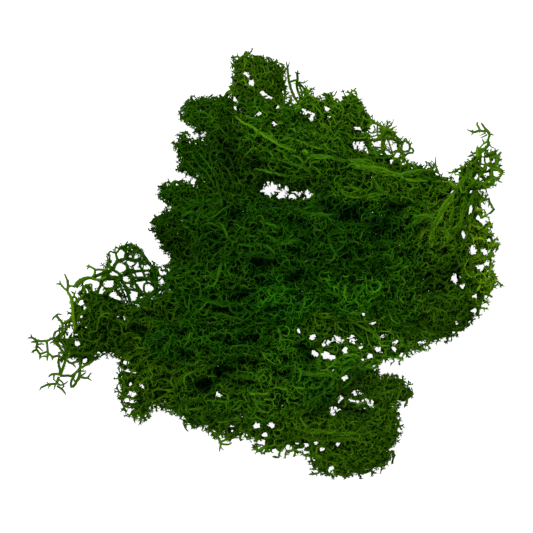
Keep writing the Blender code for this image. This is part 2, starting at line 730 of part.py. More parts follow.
def make_sprig(name):
    """A branching stem: the skin grows round its centrelines at each point's radius."""
    mesh, radii = sprig_mesh(name)
    item = add_object(name, mesh, SPRIGS[name]["green"])
    skin = item.modifiers.new("skin", "SKIN")
    skin.use_smooth_shade = True
    for point, radius in zip(mesh.skin_vertices[0].data, radii):
        half_side = radius * SKIN_SHARE
        point.radius = (half_side, half_side)
        point.use_root = False
    mesh.skin_vertices[0].data[0].use_root = True
    triangulate = item.modifiers.new("triangles", "TRIANGULATE")
    triangulate.min_vertices = 4
    depsgraph = bpy.context.evaluated_depsgraph_get()
    solid = bpy.data.meshes.new_from_object(item.evaluated_get(depsgraph))
    item.modifiers.clear()
    item.data = solid
    solid.name = name
    bpy.data.meshes.remove(mesh)
    skin_mesh = bmesh.new()
    skin_mesh.from_mesh(solid)
    bmesh.ops.recalc_face_normals(skin_mesh, faces=skin_mesh.faces)
    skin_mesh.to_mesh(solid)
    skin_mesh.free()
    return item


def place_in_frame(items):
    """Turns millimetres to metres, with the origin under the middle of the clump."""
    lows = []
    highs = []
    for item in items:
        places = np.array([vertex.co for vertex in item.data.vertices])
        lows.append(places.min(axis=0))
        highs.append(places.max(axis=0))
    low = np.min(lows, axis=0)
    high = np.max(highs, axis=0)
    middle = np.array([(low[0] + high[0]) / 2.0, (low[1] + high[1]) / 2.0, low[2]])
    for item in items:
        for vertex in item.data.vertices:
            vertex.co = [(value - shift) * MM for value, shift in zip(vertex.co, middle)]
        item.data.shade_smooth()
        item.data.set_sharp_from_angle(angle=SMOOTH_ANGLE)
    print("middle of the clump (mm):", np.round(middle, 3), "size:", np.round(high - low, 2))


def main():
    remove_everything()
    plan = Plan()
    items = []
    for name in TUFTS:
        items.append(add_object(name, tuft_mesh(name, plan), TUFTS[name]["green"]))
    for name in SPRIGS:
        items.append(make_sprig(name))
    place_in_frame(items)
    print("triangles:", sum(len(item.data.polygons) for item in items))


main()
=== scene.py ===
# %% [markdown]
# # A clump of dyed reindeer lichen
# Decorative moss is mostly reindeer lichen that was picked, dyed green and kept soft.
# It isn't a plant with leaves. It is thousands of forked twigs, each a third of a
# millimetre thick, and the clump is a pile of tufts that hang together by their tips.
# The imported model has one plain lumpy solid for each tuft. This script grows the real
# twigs where those solids are, so the solids are loaded first.

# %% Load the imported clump
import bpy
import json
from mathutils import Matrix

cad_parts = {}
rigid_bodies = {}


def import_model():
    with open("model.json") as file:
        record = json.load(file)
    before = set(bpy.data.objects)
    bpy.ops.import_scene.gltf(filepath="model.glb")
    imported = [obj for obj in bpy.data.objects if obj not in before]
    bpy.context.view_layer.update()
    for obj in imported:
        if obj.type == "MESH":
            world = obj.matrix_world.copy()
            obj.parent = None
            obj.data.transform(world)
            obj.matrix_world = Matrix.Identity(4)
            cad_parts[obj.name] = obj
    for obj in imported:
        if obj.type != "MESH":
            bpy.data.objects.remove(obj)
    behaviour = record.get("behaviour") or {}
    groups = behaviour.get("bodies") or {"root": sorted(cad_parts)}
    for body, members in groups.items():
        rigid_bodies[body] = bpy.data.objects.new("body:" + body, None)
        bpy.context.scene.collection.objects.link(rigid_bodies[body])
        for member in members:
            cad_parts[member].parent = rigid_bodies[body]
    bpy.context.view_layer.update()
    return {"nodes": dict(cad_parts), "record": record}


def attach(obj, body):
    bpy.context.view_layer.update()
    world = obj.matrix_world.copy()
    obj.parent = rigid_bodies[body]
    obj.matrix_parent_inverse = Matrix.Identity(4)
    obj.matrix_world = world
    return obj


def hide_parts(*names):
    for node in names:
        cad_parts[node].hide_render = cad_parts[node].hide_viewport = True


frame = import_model()
print("tufts and sprigs in the frame:", len(frame["nodes"]))

# %% [markdown]
# The photograph looks straight down, so each of its pixels is a place in the clump's
# plan. Twigs are easier to think of in millimetres: 0.3 thick in a tuft 15 across.
# One function turns pixels to millimetres, and the finished meshes are turned to metres.

# %% Units and the photograph's pixels
import json
import math

import bpy
import numpy as np
from mathutils import Vector
from mathutils.bvhtree import BVHTree

MM = 0.001
PIXEL = 0.2
PHOTO_SIDE = 533
ORIGIN_PIXEL = (265.275, 264.945)
SEED = 7


def in_plan(pixels):
    """Places in the plan, in mm, of (x, y) pixels of the photograph."""
    pixels = np.asarray(pixels, dtype=float)
    x = (pixels[..., 0] - ORIGIN_PIXEL[0]) * PIXEL
    y = (ORIGIN_PIXEL[1] - pixels[..., 1]) * PIXEL
    return np.stack([x, y], axis=-1)


print("the photograph is", round(PHOTO_SIDE * PIXEL, 1), "mm wide at the clump")

# %% [markdown]
# The eye knows a clump by its edge and by the places where the table shows through, so
# both are listed after the photograph. The edge is a list of corners in pixels, and
# a see-through place is an ellipse: its middle, its two half widths and its turn in
# degrees. Single twigs that stand out beyond the edge come later, one by one.

# %% The edge of the clump and its see-through places
OUTLINE = [
    (233, 57), (243, 54), (249, 51), (260, 56), (277, 59), (286, 69),
    (287, 79), (285, 90), (291, 104), (300, 101), (302, 91), (308, 87),
    (318, 98), (329, 93), (338, 100), (346, 96), (353, 88), (359, 98),
    (362, 107), (376, 121.5), (388, 119), (397, 127), (400, 138), (409, 139),
    (414, 150), (405, 158), (402, 163), (420, 165), (434, 168), (440, 176),
    (449, 180), (455, 171), (466, 164), (475, 150), (486, 148), (500, 153),
    (497, 163), (503, 173), (495, 181), (485, 188), (484, 196), (492, 204),
    (487, 212), (491, 225), (491, 236), (501, 243), (492, 253), (494, 266),
    (491, 275), (501, 281), (492, 290), (488, 303), (478, 312), (472, 321),
    (462, 330), (450, 338), (436, 341), (424, 348.5), (404, 355.5),
    (397, 363), (388, 358), (376, 365), (380, 377), (393, 375),
    (410, 384), (414, 393), (408, 401), (397, 406), (397, 416),
    (401, 427), (398, 440), (391, 450), (392, 460), (383, 468),
    (370, 473), (345, 477), (328, 475), (311, 472), (315, 463),
    (308, 456), (299, 452), (288, 454), (270, 453), (252, 450), (257, 443),
    (240, 437), (230, 441), (214, 435), (203, 428), (185, 427),
    (182, 418), (170, 412), (158, 406), (149, 407), (149, 417),
    (142, 422), (131, 418), (123, 407), (118, 390), (118, 372),
    (119, 358), (112, 352), (98, 355), (85, 364), (76, 359),
    (66, 356), (57, 347), (58, 336), (66, 327), (72, 318),
    (71, 301), (80, 294), (86, 287), (97, 277), (102, 266),
    (108, 252), (120, 245), (129, 242), (141, 249), (147, 259), (158, 266),
    (167, 265), (172, 258), (163, 251), (158, 239), (151, 230), (152, 218),
    (163, 212), (170, 206), (157, 199), (159, 186), (168, 181),
    (184, 181), (196, 185), (196, 177), (176, 169), (179, 158),
    (172, 145), (177, 134), (186, 131), (191, 141), (207, 136),
    (190, 128), (186, 122), (179, 119), (182, 106), (190, 98),
    (210, 97), (229, 95), (230, 85), (235, 76), (232, 66),
]
SEE_THROUGH = [
    (271, 190, 9, 7, 0), (280, 195, 9, 4, 0), (287, 190, 2.5, 4, 0), (293, 196, 5, 3, 0),
    (307, 195, 5, 3.5, -30), (300, 194, 4, 3, 0),
    (195, 136.5, 6, 3.6, -20), (203, 134, 4.5, 2.6, -15), (188, 178, 8, 4, 30),
    (246, 74, 4, 1.5, 50), (252, 82, 2.5, 2.5, 0), (262, 92, 2.5, 2, 0),
    (268, 97, 4, 2.5, 30), (277, 106, 3, 1.5, 15), (258, 114, 3, 1.5, 0),
    (274, 123, 2.5, 2, 0), (238, 109, 4, 1.8, 45), (235, 99, 2, 2, 0),
    (286, 97, 7, 2.2, 60), (291, 91, 8, 2.5, 70), (297, 90, 5, 2.5, 80),
    (307, 112, 4, 3, 20), (312, 116, 4, 4, 0), (328, 117, 4, 1.5, 15),
    (327, 109, 3, 1.5, 0), (358, 129, 6, 3, 35), (360, 145, 7, 5, 0),
    (368, 150, 3, 2, 40), (372, 130, 3, 4, 0), (377, 143, 4, 3, 0),
    (374, 135, 4, 2, 0), (392, 146, 3, 5, -20), (397, 155, 3, 3, 0),
    (406, 147, 3, 4, -20), (392, 161, 2, 1.5, 0), (385, 153, 2.5, 2.5, 0),
    (453, 193, 1.6, 2.8, 0), (457, 179, 1.6, 3.5, -45), (471, 191, 2, 1.8, 0),
    (487, 174, 4, 3, 20), (497, 173, 3.5, 4, 0), (483, 160, 2, 3, 60),
    (488, 160, 3, 2, -30), (494, 160, 1.8, 1.8, 0), (484, 153, 2.5, 1.6, 0),
    (483, 166, 2, 1.5, 0), (489, 168, 1.5, 1.2, 0), (476, 177, 2, 2.4, 0),
    (482, 180, 1.6, 2.2, 0), (471, 211, 1.6, 4, 10), (478.3, 218, 2.2, 3.6, -10),
    (463, 236, 1.6, 4, -15), (474, 250, 2.4, 4.5, -10), (456, 278, 4.6, 4.6, 0),
    (463, 286, 2, 2.4, 0), (485, 251, 3.2, 2.8, 0), (481, 267.5, 3.4, 2.8, 0),
    (488, 263, 2, 2.4, 0), (490, 240, 2, 1.6, 0), (476, 296, 2.6, 2, 0), (474, 310, 2.6, 3, 0),
    (458, 324, 2.5, 1.5, 0), (484, 206.5, 5, 3.2, 0), (487, 211, 1.8, 3, 10),
    (485, 221, 3.2, 4.2, 0), (488, 200, 2, 1.6, 0),
    (299, 332, 3, 1.6, 40), (313, 337, 2.5, 2, -30), (326, 343, 4, 2, -10),
    (338, 340, 5.2, 3.1, 15), (353, 340, 5.2, 3.1, 20), (345, 350, 3.5, 2.5, 0),
    (361, 348, 3.5, 2, -20), (315, 353, 3.5, 2.4, 30), (326, 353, 3.5, 1.8, 10),
    (327, 357, 3.5, 2.2, 15), (333, 358, 1.4, 2, 0), (379, 349, 5, 3.6, 30),
    (371, 356, 3, 2, 0), (394, 349, 2.6, 1.6, 0), (383, 336, 4, 1.8, -20),
    (363, 360, 2.4, 1.6, 0), (396, 342, 3.5, 1.2, -10), (374, 323, 3.5, 2, 0),
    (422, 341, 4.5, 1.6, -15), (363, 314, 2, 1.2, 0),
    (345, 378, 3, 1.6, -15), (359, 394, 6.5, 2.8, 10), (341, 399, 4, 1.5, -10),
    (355, 400, 6, 2.4, 10), (368, 402, 6, 2.6, 15), (334, 409, 6, 2.4, 10),
    (333, 413, 2, 3.5, 0), (218, 395, 3, 2.2, 40), (257, 426, 2.8, 2.8, 0),
    (272, 426, 3, 3, 0), (232, 429, 1.8, 2.8, -20), (306, 445, 2.2, 3.5, 15),
    (297, 444, 2, 2, 0), (316, 443, 2.5, 1.8, 20), (323, 450, 2.4, 2.4, 0),
    (338, 444, 2.6, 1.8, 0), (332, 469, 2.6, 1.4, 0), (288, 447, 2, 3, 0),
    (264, 436, 1.8, 2.6, 20), (262, 443, 3.5, 2.2, 0), (254, 446, 2.4, 1.8, 0),
    (126, 363, 2, 1.6, 0), (127, 372, 2, 1.6, 0), (133, 373, 2, 1.2, 0),
    (130, 384, 1.6, 1.2, 0), (142, 387, 2, 1.6, 0), (129, 393, 1.8, 1.4, -20),
    (133, 395, 3, 1.6, -30), (127, 401, 2.2, 1.6, -30), (132, 403, 2.6, 1.8, -20),
    (130, 411, 3, 1.6, -40),
    (119, 268, 5, 4, -30), (147, 267, 3, 2.6, 0), (136, 268, 2.4, 2.4, 0),
    (125, 280, 4, 1.8, -40), (127, 284, 2.2, 1.6, -30), (109, 284, 4.5, 3, 0),
    (115, 297, 5, 2.4, 35), (133, 295, 4.5, 4, 20), (140, 286, 3, 4.5, -25),
    (148, 288, 4, 3.8, 0), (140, 274, 5, 1.6, 25), (147, 272, 3, 1.2, -10),
    (162, 273, 4, 3, 0), (100, 291, 2.6, 2.8, -20), (94, 285, 4.6, 5.6, -20),
    (88, 288, 3.6, 3.8, 0), (81, 302, 3.5, 3.5, 0), (111, 274, 1.6, 1.4, 0),
    (115, 274, 2.4, 1.4, 0), (98, 272, 3, 1.8, 0), (119, 254, 3.5, 5, -10),
    (112, 258, 2.5, 7, -8), (136, 258, 1.2, 3, 20), (124, 261, 1.8, 1.2, -20),
    (131, 263, 1.6, 1.8, 0), (130, 267, 1.4, 1.4, 0), (143, 281, 2.2, 2, -20),
    (149, 282, 2, 1.6, 0), (134, 287, 2, 1.2, 0), (162, 281, 2, 1.8, -20),
    (165, 268, 4, 2, 20), (118, 317, 1.5, 1.6, 0), (124, 317, 1.2, 1.4, 0),
    (85, 308, 1.5, 1.5, 0), (82, 316, 1.4, 1.4, 0), (78, 322, 1.5, 1.5, 0),
    (83, 328, 4, 1.5, 0), (69, 330, 4.6, 5.6, 0), (67, 337, 2.5, 2, 0),
    (76, 337, 1.5, 1.5, 0), (62, 343, 2, 1.5, 0), (77, 344, 1.8, 1.8, 0),
    (61, 348, 1.5, 3, 0), (98, 352, 2.5, 2, 0), (73, 359, 4.5, 3, 0), (85, 361, 4, 4, 0),
]
print("corners of the edge:", len(OUTLINE), "and see-through places:", len(SEE_THROUGH))

# %% [markdown]
# A map of the plan has a cell for every pixel, so that a twig can be asked where it is.
# The see-through places are mapped a little wider than their ellipses, because twigs
# will stand over their rims.

# %% Map the edge and the see-through places
CELL = 0.2
MAP_LOW = np.array([-50.0, -46.0])
MAP_SHAPE = (int(92.0 / CELL), int(100.0 / CELL))
HOLE_MARGIN = 0.06


def in_cells(points):
    """Row and column in the maps of places in the plan."""
    cells = np.floor((points[..., :2] - MAP_LOW) / CELL).astype(int)
    column = np.clip(cells[..., 0], 0, MAP_SHAPE[1] - 1)
    row = np.clip(cells[..., 1], 0, MAP_SHAPE[0] - 1)
    return row, column


def cell_middles():
    """The place in the plan of every cell's middle."""
    rows, columns = np.indices(MAP_SHAPE)
    x = MAP_LOW[0] + (columns + 0.5) * CELL
    y = MAP_LOW[1] + (rows + 0.5) * CELL
    return np.stack([x, y], axis=-1)


def inside_outline(points, corners):
    """True for the points that a closed outline holds."""
    inside = np.zeros(points.shape[:-1], dtype=bool)
    for start, end in zip(corners, np.roll(corners, -1, axis=0)):
        if start[1] == end[1]:
            continue
        spans = (start[1] > points[..., 1]) != (end[1] > points[..., 1])
        slope = (end[0] - start[0]) / (end[1] - start[1])
        inside ^= spans & (points[..., 0] < start[0] + (points[..., 1] - start[1]) * slope)
    return inside


def ellipse_reach(points, ellipse, margin=0.0):
    """How far out each point lies in an ellipse: 0 at its middle and 1 at its edge."""
    x, y, half_width, half_height, turn = ellipse
    away = points - in_plan((x, y))
    angle = math.radians(-turn)
    along = away[..., 0] * math.cos(angle) + away[..., 1] * math.sin(angle)
    across = away[..., 1] * math.cos(angle) - away[..., 0] * math.sin(angle)
    wide = half_width * PIXEL + margin
    high = half_height * PIXEL + margin
    return np.sqrt((along / wide) ** 2 + (across / high) ** 2)


middles = cell_middles()
full = inside_outline(middles, in_plan(OUTLINE))
open_ground = np.zeros(MAP_SHAPE, dtype=bool)
for ellipse in SEE_THROUGH:
    open_ground |= ellipse_reach(middles, ellipse, HOLE_MARGIN) < 1.0
print("the edge holds", round(full.sum() * CELL * CELL), "square mm, of which",
      round((full & open_ground).sum() * CELL * CELL), "are see-through")

# %% [markdown]
# The real edge isn't cut clean: twigs stand out of it, with small notches between them.
# So the cells near the edge are kept or dropped in patches about as wide as a twig, and
# the further out a cell lies, the likelier it is dropped. What is kept is called ground.

# %% Fray the edge
STEPS = [(0, 1), (1, 0), (0, -1), (-1, 0)]
FRINGE_OUT = 3
FRINGE_IN = 5
FRINGE_SHARES = np.linspace(0.44, 0.68, FRINGE_OUT + FRINGE_IN)
NOTCH_CONTRAST = 0.6


def shifted(field, row_step, column_step, outside):
    """The field moved by whole cells."""
    moved = np.full_like(field, outside)
    rows, columns = field.shape
    to_rows = slice(max(row_step, 0), rows + min(row_step, 0))
    to_columns = slice(max(column_step, 0), columns + min(column_step, 0))
    from_rows = slice(max(-row_step, 0), rows + min(-row_step, 0))
    from_columns = slice(max(-column_step, 0), columns + min(-column_step, 0))
    moved[to_rows, to_columns] = field[from_rows, from_columns]
    return moved


def inset(mask, cells):
    """A mask drawn in from its edges by some cells."""
    for step in range(cells):
        inner = mask.copy()
        for row_step, column_step in STEPS:
            inner &= shifted(mask, row_step, column_step, False)
        mask = inner
    return mask


def outset(mask, cells):
    """A mask grown beyond its edges by some cells."""
    for step in range(cells):
        outer = mask.copy()
        for row_step, column_step in STEPS:
            outer |= shifted(mask, row_step, column_step, False)
        mask = outer
    return mask


chance = np.random.default_rng(SEED)
notches = chance.random(MAP_SHAPE)
for axis in (0, 1):
    notches = sum(np.roll(notches, step, axis=axis) for step in (-1, 0, 1)) / 3.0
notches = (notches - 0.5) * NOTCH_CONTRAST + 0.5
wide = outset(full, FRINGE_OUT)
ground = inset(full, FRINGE_IN)
for steps_in, share in enumerate(FRINGE_SHARES):
    ground |= inset(wide, steps_in) & (notches < share)
ground &= ~open_ground
print("the clump covers", round(ground.sum() * CELL * CELL), "square mm")

# %% [markdown]
# The heights come from the solids: a ray from above finds each cell's highest solid and
# which tuft it belongs to, and a ray from below finds its underside.

# %% Read the heights off the solids
SPRIG_NODES = ["left_sprig", "lower_left_sprig", "hooked_twig", "left_stem",
               "curled_stem", "upper_right_twig", "top_twigs", "bottom_twig"]
ABOVE = 60.0
tuft_names = sorted(set(frame["nodes"]) - set(SPRIG_NODES))


def joined_solids(names):
    """One search tree over the solids, and the tuft number of each of its faces."""
    corners = []
    faces = []
    owners = []
    for number, name in enumerate(names):
        mesh = frame["nodes"][name].data
        first = len(corners)
        corners += [vertex.co / MM for vertex in mesh.vertices]
        for face in mesh.polygons:
            faces.append([first + corner for corner in face.vertices])
            owners.append(number)
    return BVHTree.FromPolygons(corners, faces), owners


solids, face_owner = joined_solids(tuft_names)
top = np.full(MAP_SHAPE, np.nan)
under = np.full(MAP_SHAPE, np.nan)
owner = np.full(MAP_SHAPE, -1)
for row, column in zip(*np.nonzero(full)):
    x, y = middles[row, column]
    hit, normal, face, distance = solids.ray_cast((x, y, ABOVE), (0, 0, -1))
    if hit is None:
        continue
    top[row, column] = hit.z
    owner[row, column] = face_owner[face]
    hit, normal, face, distance = solids.ray_cast((x, y, -ABOVE), (0, 0, 1))
    under[row, column] = hit.z
print("cells within the edge that no solid covers:", int((full & (owner < 0)).sum()))

# %% [markdown]
# Real tufts grow into each other, so the gaps and creases between the solids are closed
# over. Then the dark hollows of the photograph are pressed in. A hollow is an ellipse,
# like a see-through place, with its depth in mm as a last number.

# %% Close the creases and press in the hollows
CREASE = 8
CREASE_EASING = 3
HOLLOW_EDGE = 1.2
THINNEST_TUFT = 2.0
HOLLOWS = [
    (222, 370, 12, 8, 0, 6.0), (205, 386, 12, 7, 0, 5.0), (263, 263, 12, 8, 0, 6.0),
    (140, 330, 10, 6, 20, 4.0), (228, 160, 10, 18, -20, 5.0), (430, 290, 15, 11, 0, 3.0),
    (385, 230, 16, 12, 0, 5.0), (395, 208, 12, 8, 0, 5.0), (352, 215, 14, 8, 0, 5.0),
    (150, 312, 10, 5, 10, 3.0), (330, 205, 12, 6, 0, 4.0), (300, 222, 12, 5, 0, 3.0),
    (240, 295, 10, 6, 0, 3.5), (330, 300, 10, 6, 0, 3.0), (180, 330, 10, 6, 0, 3.0),
    (310, 360, 10, 5, 0, 3.0), (250, 340, 9, 6, 0, 3.0), (280, 400, 9, 6, 0, 3.0),
    (215, 240, 8, 10, 0, 3.5), (236, 215, 8, 9, 0, 4.0), (255, 165, 12, 6, 10, 3.5),
    (410, 255, 9, 7, 0, 3.0), (350, 255, 10, 6, 0, 3.0), (300, 275, 10, 6, 0, 3.5),
    (264, 282, 7, 5, 0, 4.0), (291, 280, 7, 6, 0, 4.5), (221, 310, 12, 3, 8, 4.5),
    (271, 309, 7, 3, 0, 4.0), (226, 342, 5, 4, 0, 4.5), (204, 384, 12, 6, 5, 4.5),
    (244, 361, 7, 5, 0, 4.0), (255, 364, 6, 5, 0, 4.0), (286, 360, 6, 4, 0, 4.0),
    (292, 251, 8, 4, 10, 4.0), (304, 348, 5, 5, 0, 4.0), (240, 383, 8, 3, 0, 4.0),
    (284, 374, 8, 4, 5, 4.0), (186, 356, 6, 5, 0, 4.0), (356, 410, 20, 7, 0, 4.0),
    (312, 414, 8, 5, 0, 4.0),
]


def fill_from_neighbours():
    """Gives cells that no solid covers the heights and the tuft of the nearest cell."""
    missing = wide & (owner < 0)
    while missing.any():
        for row_step, column_step in STEPS:
            near_owner = shifted(owner, row_step, column_step, -1)
            takes = missing & (near_owner >= 0)
            owner[takes] = near_owner[takes]
            top[takes] = shifted(top, row_step, column_step, np.nan)[takes]
            under[takes] = shifted(under, row_step, column_step, np.nan)[takes]
            missing = wide & (owner < 0)


def spread(field, cells, pick):
    """The highest or lowest value within some cells, with pick np.fmax or np.fmin."""
    for step in range(cells):
        grown = field
        for row_step, column_step in STEPS:
            grown = pick(grown, shifted(field, row_step, column_step, np.nan))
        field = grown
    return field


def softened(field, cells):
    """The mean over a square of cells, leaving out the ground beside the clump."""
    known = np.isfinite(field)
    total = np.where(known, field, 0.0)
    count = known.astype(float)
    reach = range(-cells, cells + 1)
    for axis in (0, 1):
        total = sum(np.roll(total, step, axis=axis) for step in reach)
        count = sum(np.roll(count, step, axis=axis) for step in reach)
    return np.where(known, total / np.maximum(count, 1.0), np.nan)


fill_from_neighbours()
top = spread(spread(top, CREASE, np.fmax), CREASE, np.fmin)
top = softened(np.where(wide, top, np.nan), CREASE_EASING)
# crest keeps the heights from before the hollows are pressed in. Twig colour darkens with depth
# below it, so twigs in a hollow get painted shade as well as lying lower.
crest = top.copy()
for *ellipse, deep in HOLLOWS:
    reach = ellipse_reach(middles, ellipse)
    top -= deep * np.exp(-(reach ** 2) * HOLLOW_EDGE)
top = np.maximum(top, under + THINNEST_TUFT)
print("highest twig ends at", round(float(np.nanmax(top)), 1), "mm")

# %% [markdown]
# Twigs fork wherever there is room and light, and leave even gaps between them. The
# growth copies that: the free room is strewn with scraps of food, each scrap pulls the
# nearest twig one step closer, and it is eaten when a twig comes close to it. A twig
# that is pulled to two sides forks. Height counts more than width here, so that twigs
# spread flat as they do in a clump that was pressed for drying.

# %% Grow twigs towards food
STRETCH = np.array([1.0, 1.0, 1.4])
MOST_FORKS = 3
NO_PARENT = -1
TWIG_OUT = 0.4
FLOOR_GAP = 0.3
CLEARANCE = 0.6


def square_distances(a, b):
    """Squared distances between every point of a and every point of b."""
    squares = (a * a).sum(axis=1)[:, None] + (b * b).sum(axis=1)[None, :]
    return np.maximum(squares - 2.0 * a @ b.T, 0.0)


def unit(vectors):
    """The vectors at length 1."""
    return vectors / np.maximum(np.linalg.norm(vectors, axis=1), 1e-9)[:, None]


def has_room(points):
    """True where a twig may grow: over the clump's ground and between its heights."""
    row, column = in_cells(points)
    inside = ground[row, column]
    ceiling = np.where(inside, top[row, column], 0.0) + TWIG_OUT
    floor = np.maximum(np.where(inside, under[row, column], 0.0) - TWIG_OUT, FLOOR_GAP)
    return inside & (points[:, 2] < ceiling) & (points[:, 2] > floor)


def grow(place, parent, food, chance, pace, grain):
    """Grows a skeleton of joints towards its food and returns it with its new joints.
    Twigs lean to the grain, a direction whose length is how much they do."""
    place = place * STRETCH
    food = food * STRETCH
    heading = unit(place - place[np.maximum(parent, 0)])
    forks = np.bincount(parent[parent >= 0], minlength=len(parent))
    apart = square_distances(food, place)
    nearest = apart.argmin(axis=1)
    away = apart.min(axis=1)
    hungry = away > pace["kill"] ** 2
    while True:
        pulled = np.flatnonzero(hungry & (away < pace["reach"] ** 2))
        if len(pulled) == 0:
            return place / STRETCH, parent
        host = nearest[pulled]
        pull = np.zeros_like(place)
        np.add.at(pull, host, unit(food[pulled] - place[host]))
        grower = np.unique(host)
        aim = unit(pull[grower])
        aim += (aim @ grain)[:, None] * grain + pace["keep_on"] * heading[grower]
        aim = unit(aim + chance.normal(0.0, pace["wobble"], aim.shape))
        fresh = place[grower] + pace["step"] * aim
        clear = square_distances(fresh, place).min(axis=1) > (CLEARANCE * pace["step"]) ** 2
        good = clear & has_room(fresh / STRETCH) & (forks[grower] < MOST_FORKS)
        hungry[pulled[np.isin(host, grower[~good])]] = False
        if not good.any():
            continue
        first = len(place)
        forks[grower[good]] += 1
        forks = np.concatenate([forks, np.zeros(good.sum(), dtype=int)])
        place = np.concatenate([place, fresh[good]])
        parent = np.concatenate([parent, grower[good]])
        heading = np.concatenate([heading, aim[good]])
        waiting = np.flatnonzero(hungry)
        if len(waiting) == 0:
            continue
        apart = square_distances(food[waiting], place[first:])
        best = apart.argmin(axis=1)
        closest = apart[np.arange(len(waiting)), best]
        nearer = closest < away[waiting]
        nearest[waiting[nearer]] = first + best[nearer]
        away[waiting[nearer]] = closest[nearer]
        hungry[waiting[away[waiting] < pace["kill"] ** 2]] = False


print("twigs keep", FLOOR_GAP, "mm off the table, and at most", MOST_FORKS, "leave one joint")

# %% [markdown]
# A skeleton is a set of joints, each with its parent. Each tuft's grows in two ages: old
# thick wood spreads low down, and then the young canopy fills the upper layer from it.
# An age is given in mm: how long a step is, how near a twig comes to eat, how far it
# feels food, the thinnest radius and the size of the crown on each end. wobble is how
# much a twig strays at each step, and keep_on is how much it keeps its course. Where
# food is left that no twig can reach, a new twig starts beside it.

# %% The two ages of a tuft
OLD_WOOD = {"step": 1.0, "kill": 1.1, "reach": 16.0, "wobble": 0.3, "keep_on": 0.5,
            "least": 0.36, "crown": 0.0}
CANOPY = {"step": 0.55, "kill": 0.45, "reach": 6.0, "wobble": 0.15, "keep_on": 0.9,
          "least": 0.145, "crown": 1.0}
FINE_CANOPY = {"step": 0.45, "kill": 0.37, "reach": 6.0, "wobble": 0.15, "keep_on": 0.9,
               "least": 0.125, "crown": 0.85}
SPARED = 1.8
FEWEST_SCRAPS = 8
MOST_STARTS = 20


def add_joints(skeleton, place, parent, least, crown, fixed=None, shine=1.0):
    """Adds joints to a skeleton. parent counts within the whole skeleton."""
    count = len(place)
    values = {"place": place, "parent": parent, "least": np.full(count, least),
              "crown": np.full(count, crown), "shine": np.full(count, shine),
              "fixed": np.zeros(count) if fixed is None else fixed}
    for key, value in values.items():
        skeleton[key] = np.concatenate([skeleton[key], value]) if key in skeleton else value


def feed(skeleton, food, chance, pace, grain):
    """Grows a skeleton at one pace. Where it can't reach, new twigs start beside it."""
    for start_number in range(MOST_STARTS):
        place, parent = grow(skeleton["place"], skeleton["parent"], food, chance,
                             pace, grain)
        first = len(skeleton["place"])
        add_joints(skeleton, place[first:], parent[first:], pace["least"], pace["crown"])
        apart = square_distances(food * STRETCH, place * STRETCH).min(axis=1)
        food = food[apart > (SPARED * pace["kill"]) ** 2]
        food = food[has_room(food)]
        if len(food) < FEWEST_SCRAPS:
            return
        start = food[chance.integers(0, len(food))]
        add_joints(skeleton, start[None], np.array([NO_PARENT]), pace["least"], 0.0)


print("twigs fork every", CANOPY["step"], "mm or more in a coarse tuft and every",
      FINE_CANOPY["step"], "in a fine one")

# %% [markdown]
# Food is strewn over a tuft's own ground and a little over its neighbours', so that
# tufts tangle at their borders as the real ones do. The rim of the clump gets more of
# it, so that many fine ends stand against the white there, as in the photograph.

# %% Strew the food
TANGLE = 0.8
MARGIN_CELLS = 10
MARGIN_FOOD = 1.7
FOOD_LOW = 0.4
margin_band = ground & ~inset(full, MARGIN_CELLS)


def strewn(number, amount, lowest_share, highest_share, chance):
    """Food over one tuft's ground, between two shares of the tuft's height."""
    rows, columns = np.nonzero(ground)
    spots = middles[rows, columns]
    near_row, near_column = in_cells(spots + chance.normal(0.0, TANGLE, spots.shape))
    mine = owner[near_row, near_column] == number
    rows, columns = rows[mine], columns[mine]
    weight = np.where(margin_band[rows, columns], MARGIN_FOOD, 1.0)
    count = int(amount * len(rows) * CELL * CELL)
    chosen = chance.choice(len(rows), count, p=weight / weight.sum())
    rows, columns = rows[chosen], columns[chosen]
    plan = middles[rows, columns] + chance.uniform(-0.5, 0.5, (len(rows), 2)) * CELL
    low = np.maximum(under[rows, columns], FOOD_LOW)
    high = top[rows, columns]
    share = chance.uniform(lowest_share, highest_share, len(rows))
    return np.column_stack([plan, low + (high - low) * share]), high


print("the rim that gets more food covers", round(margin_band.sum() * CELL * CELL),
      "square mm")
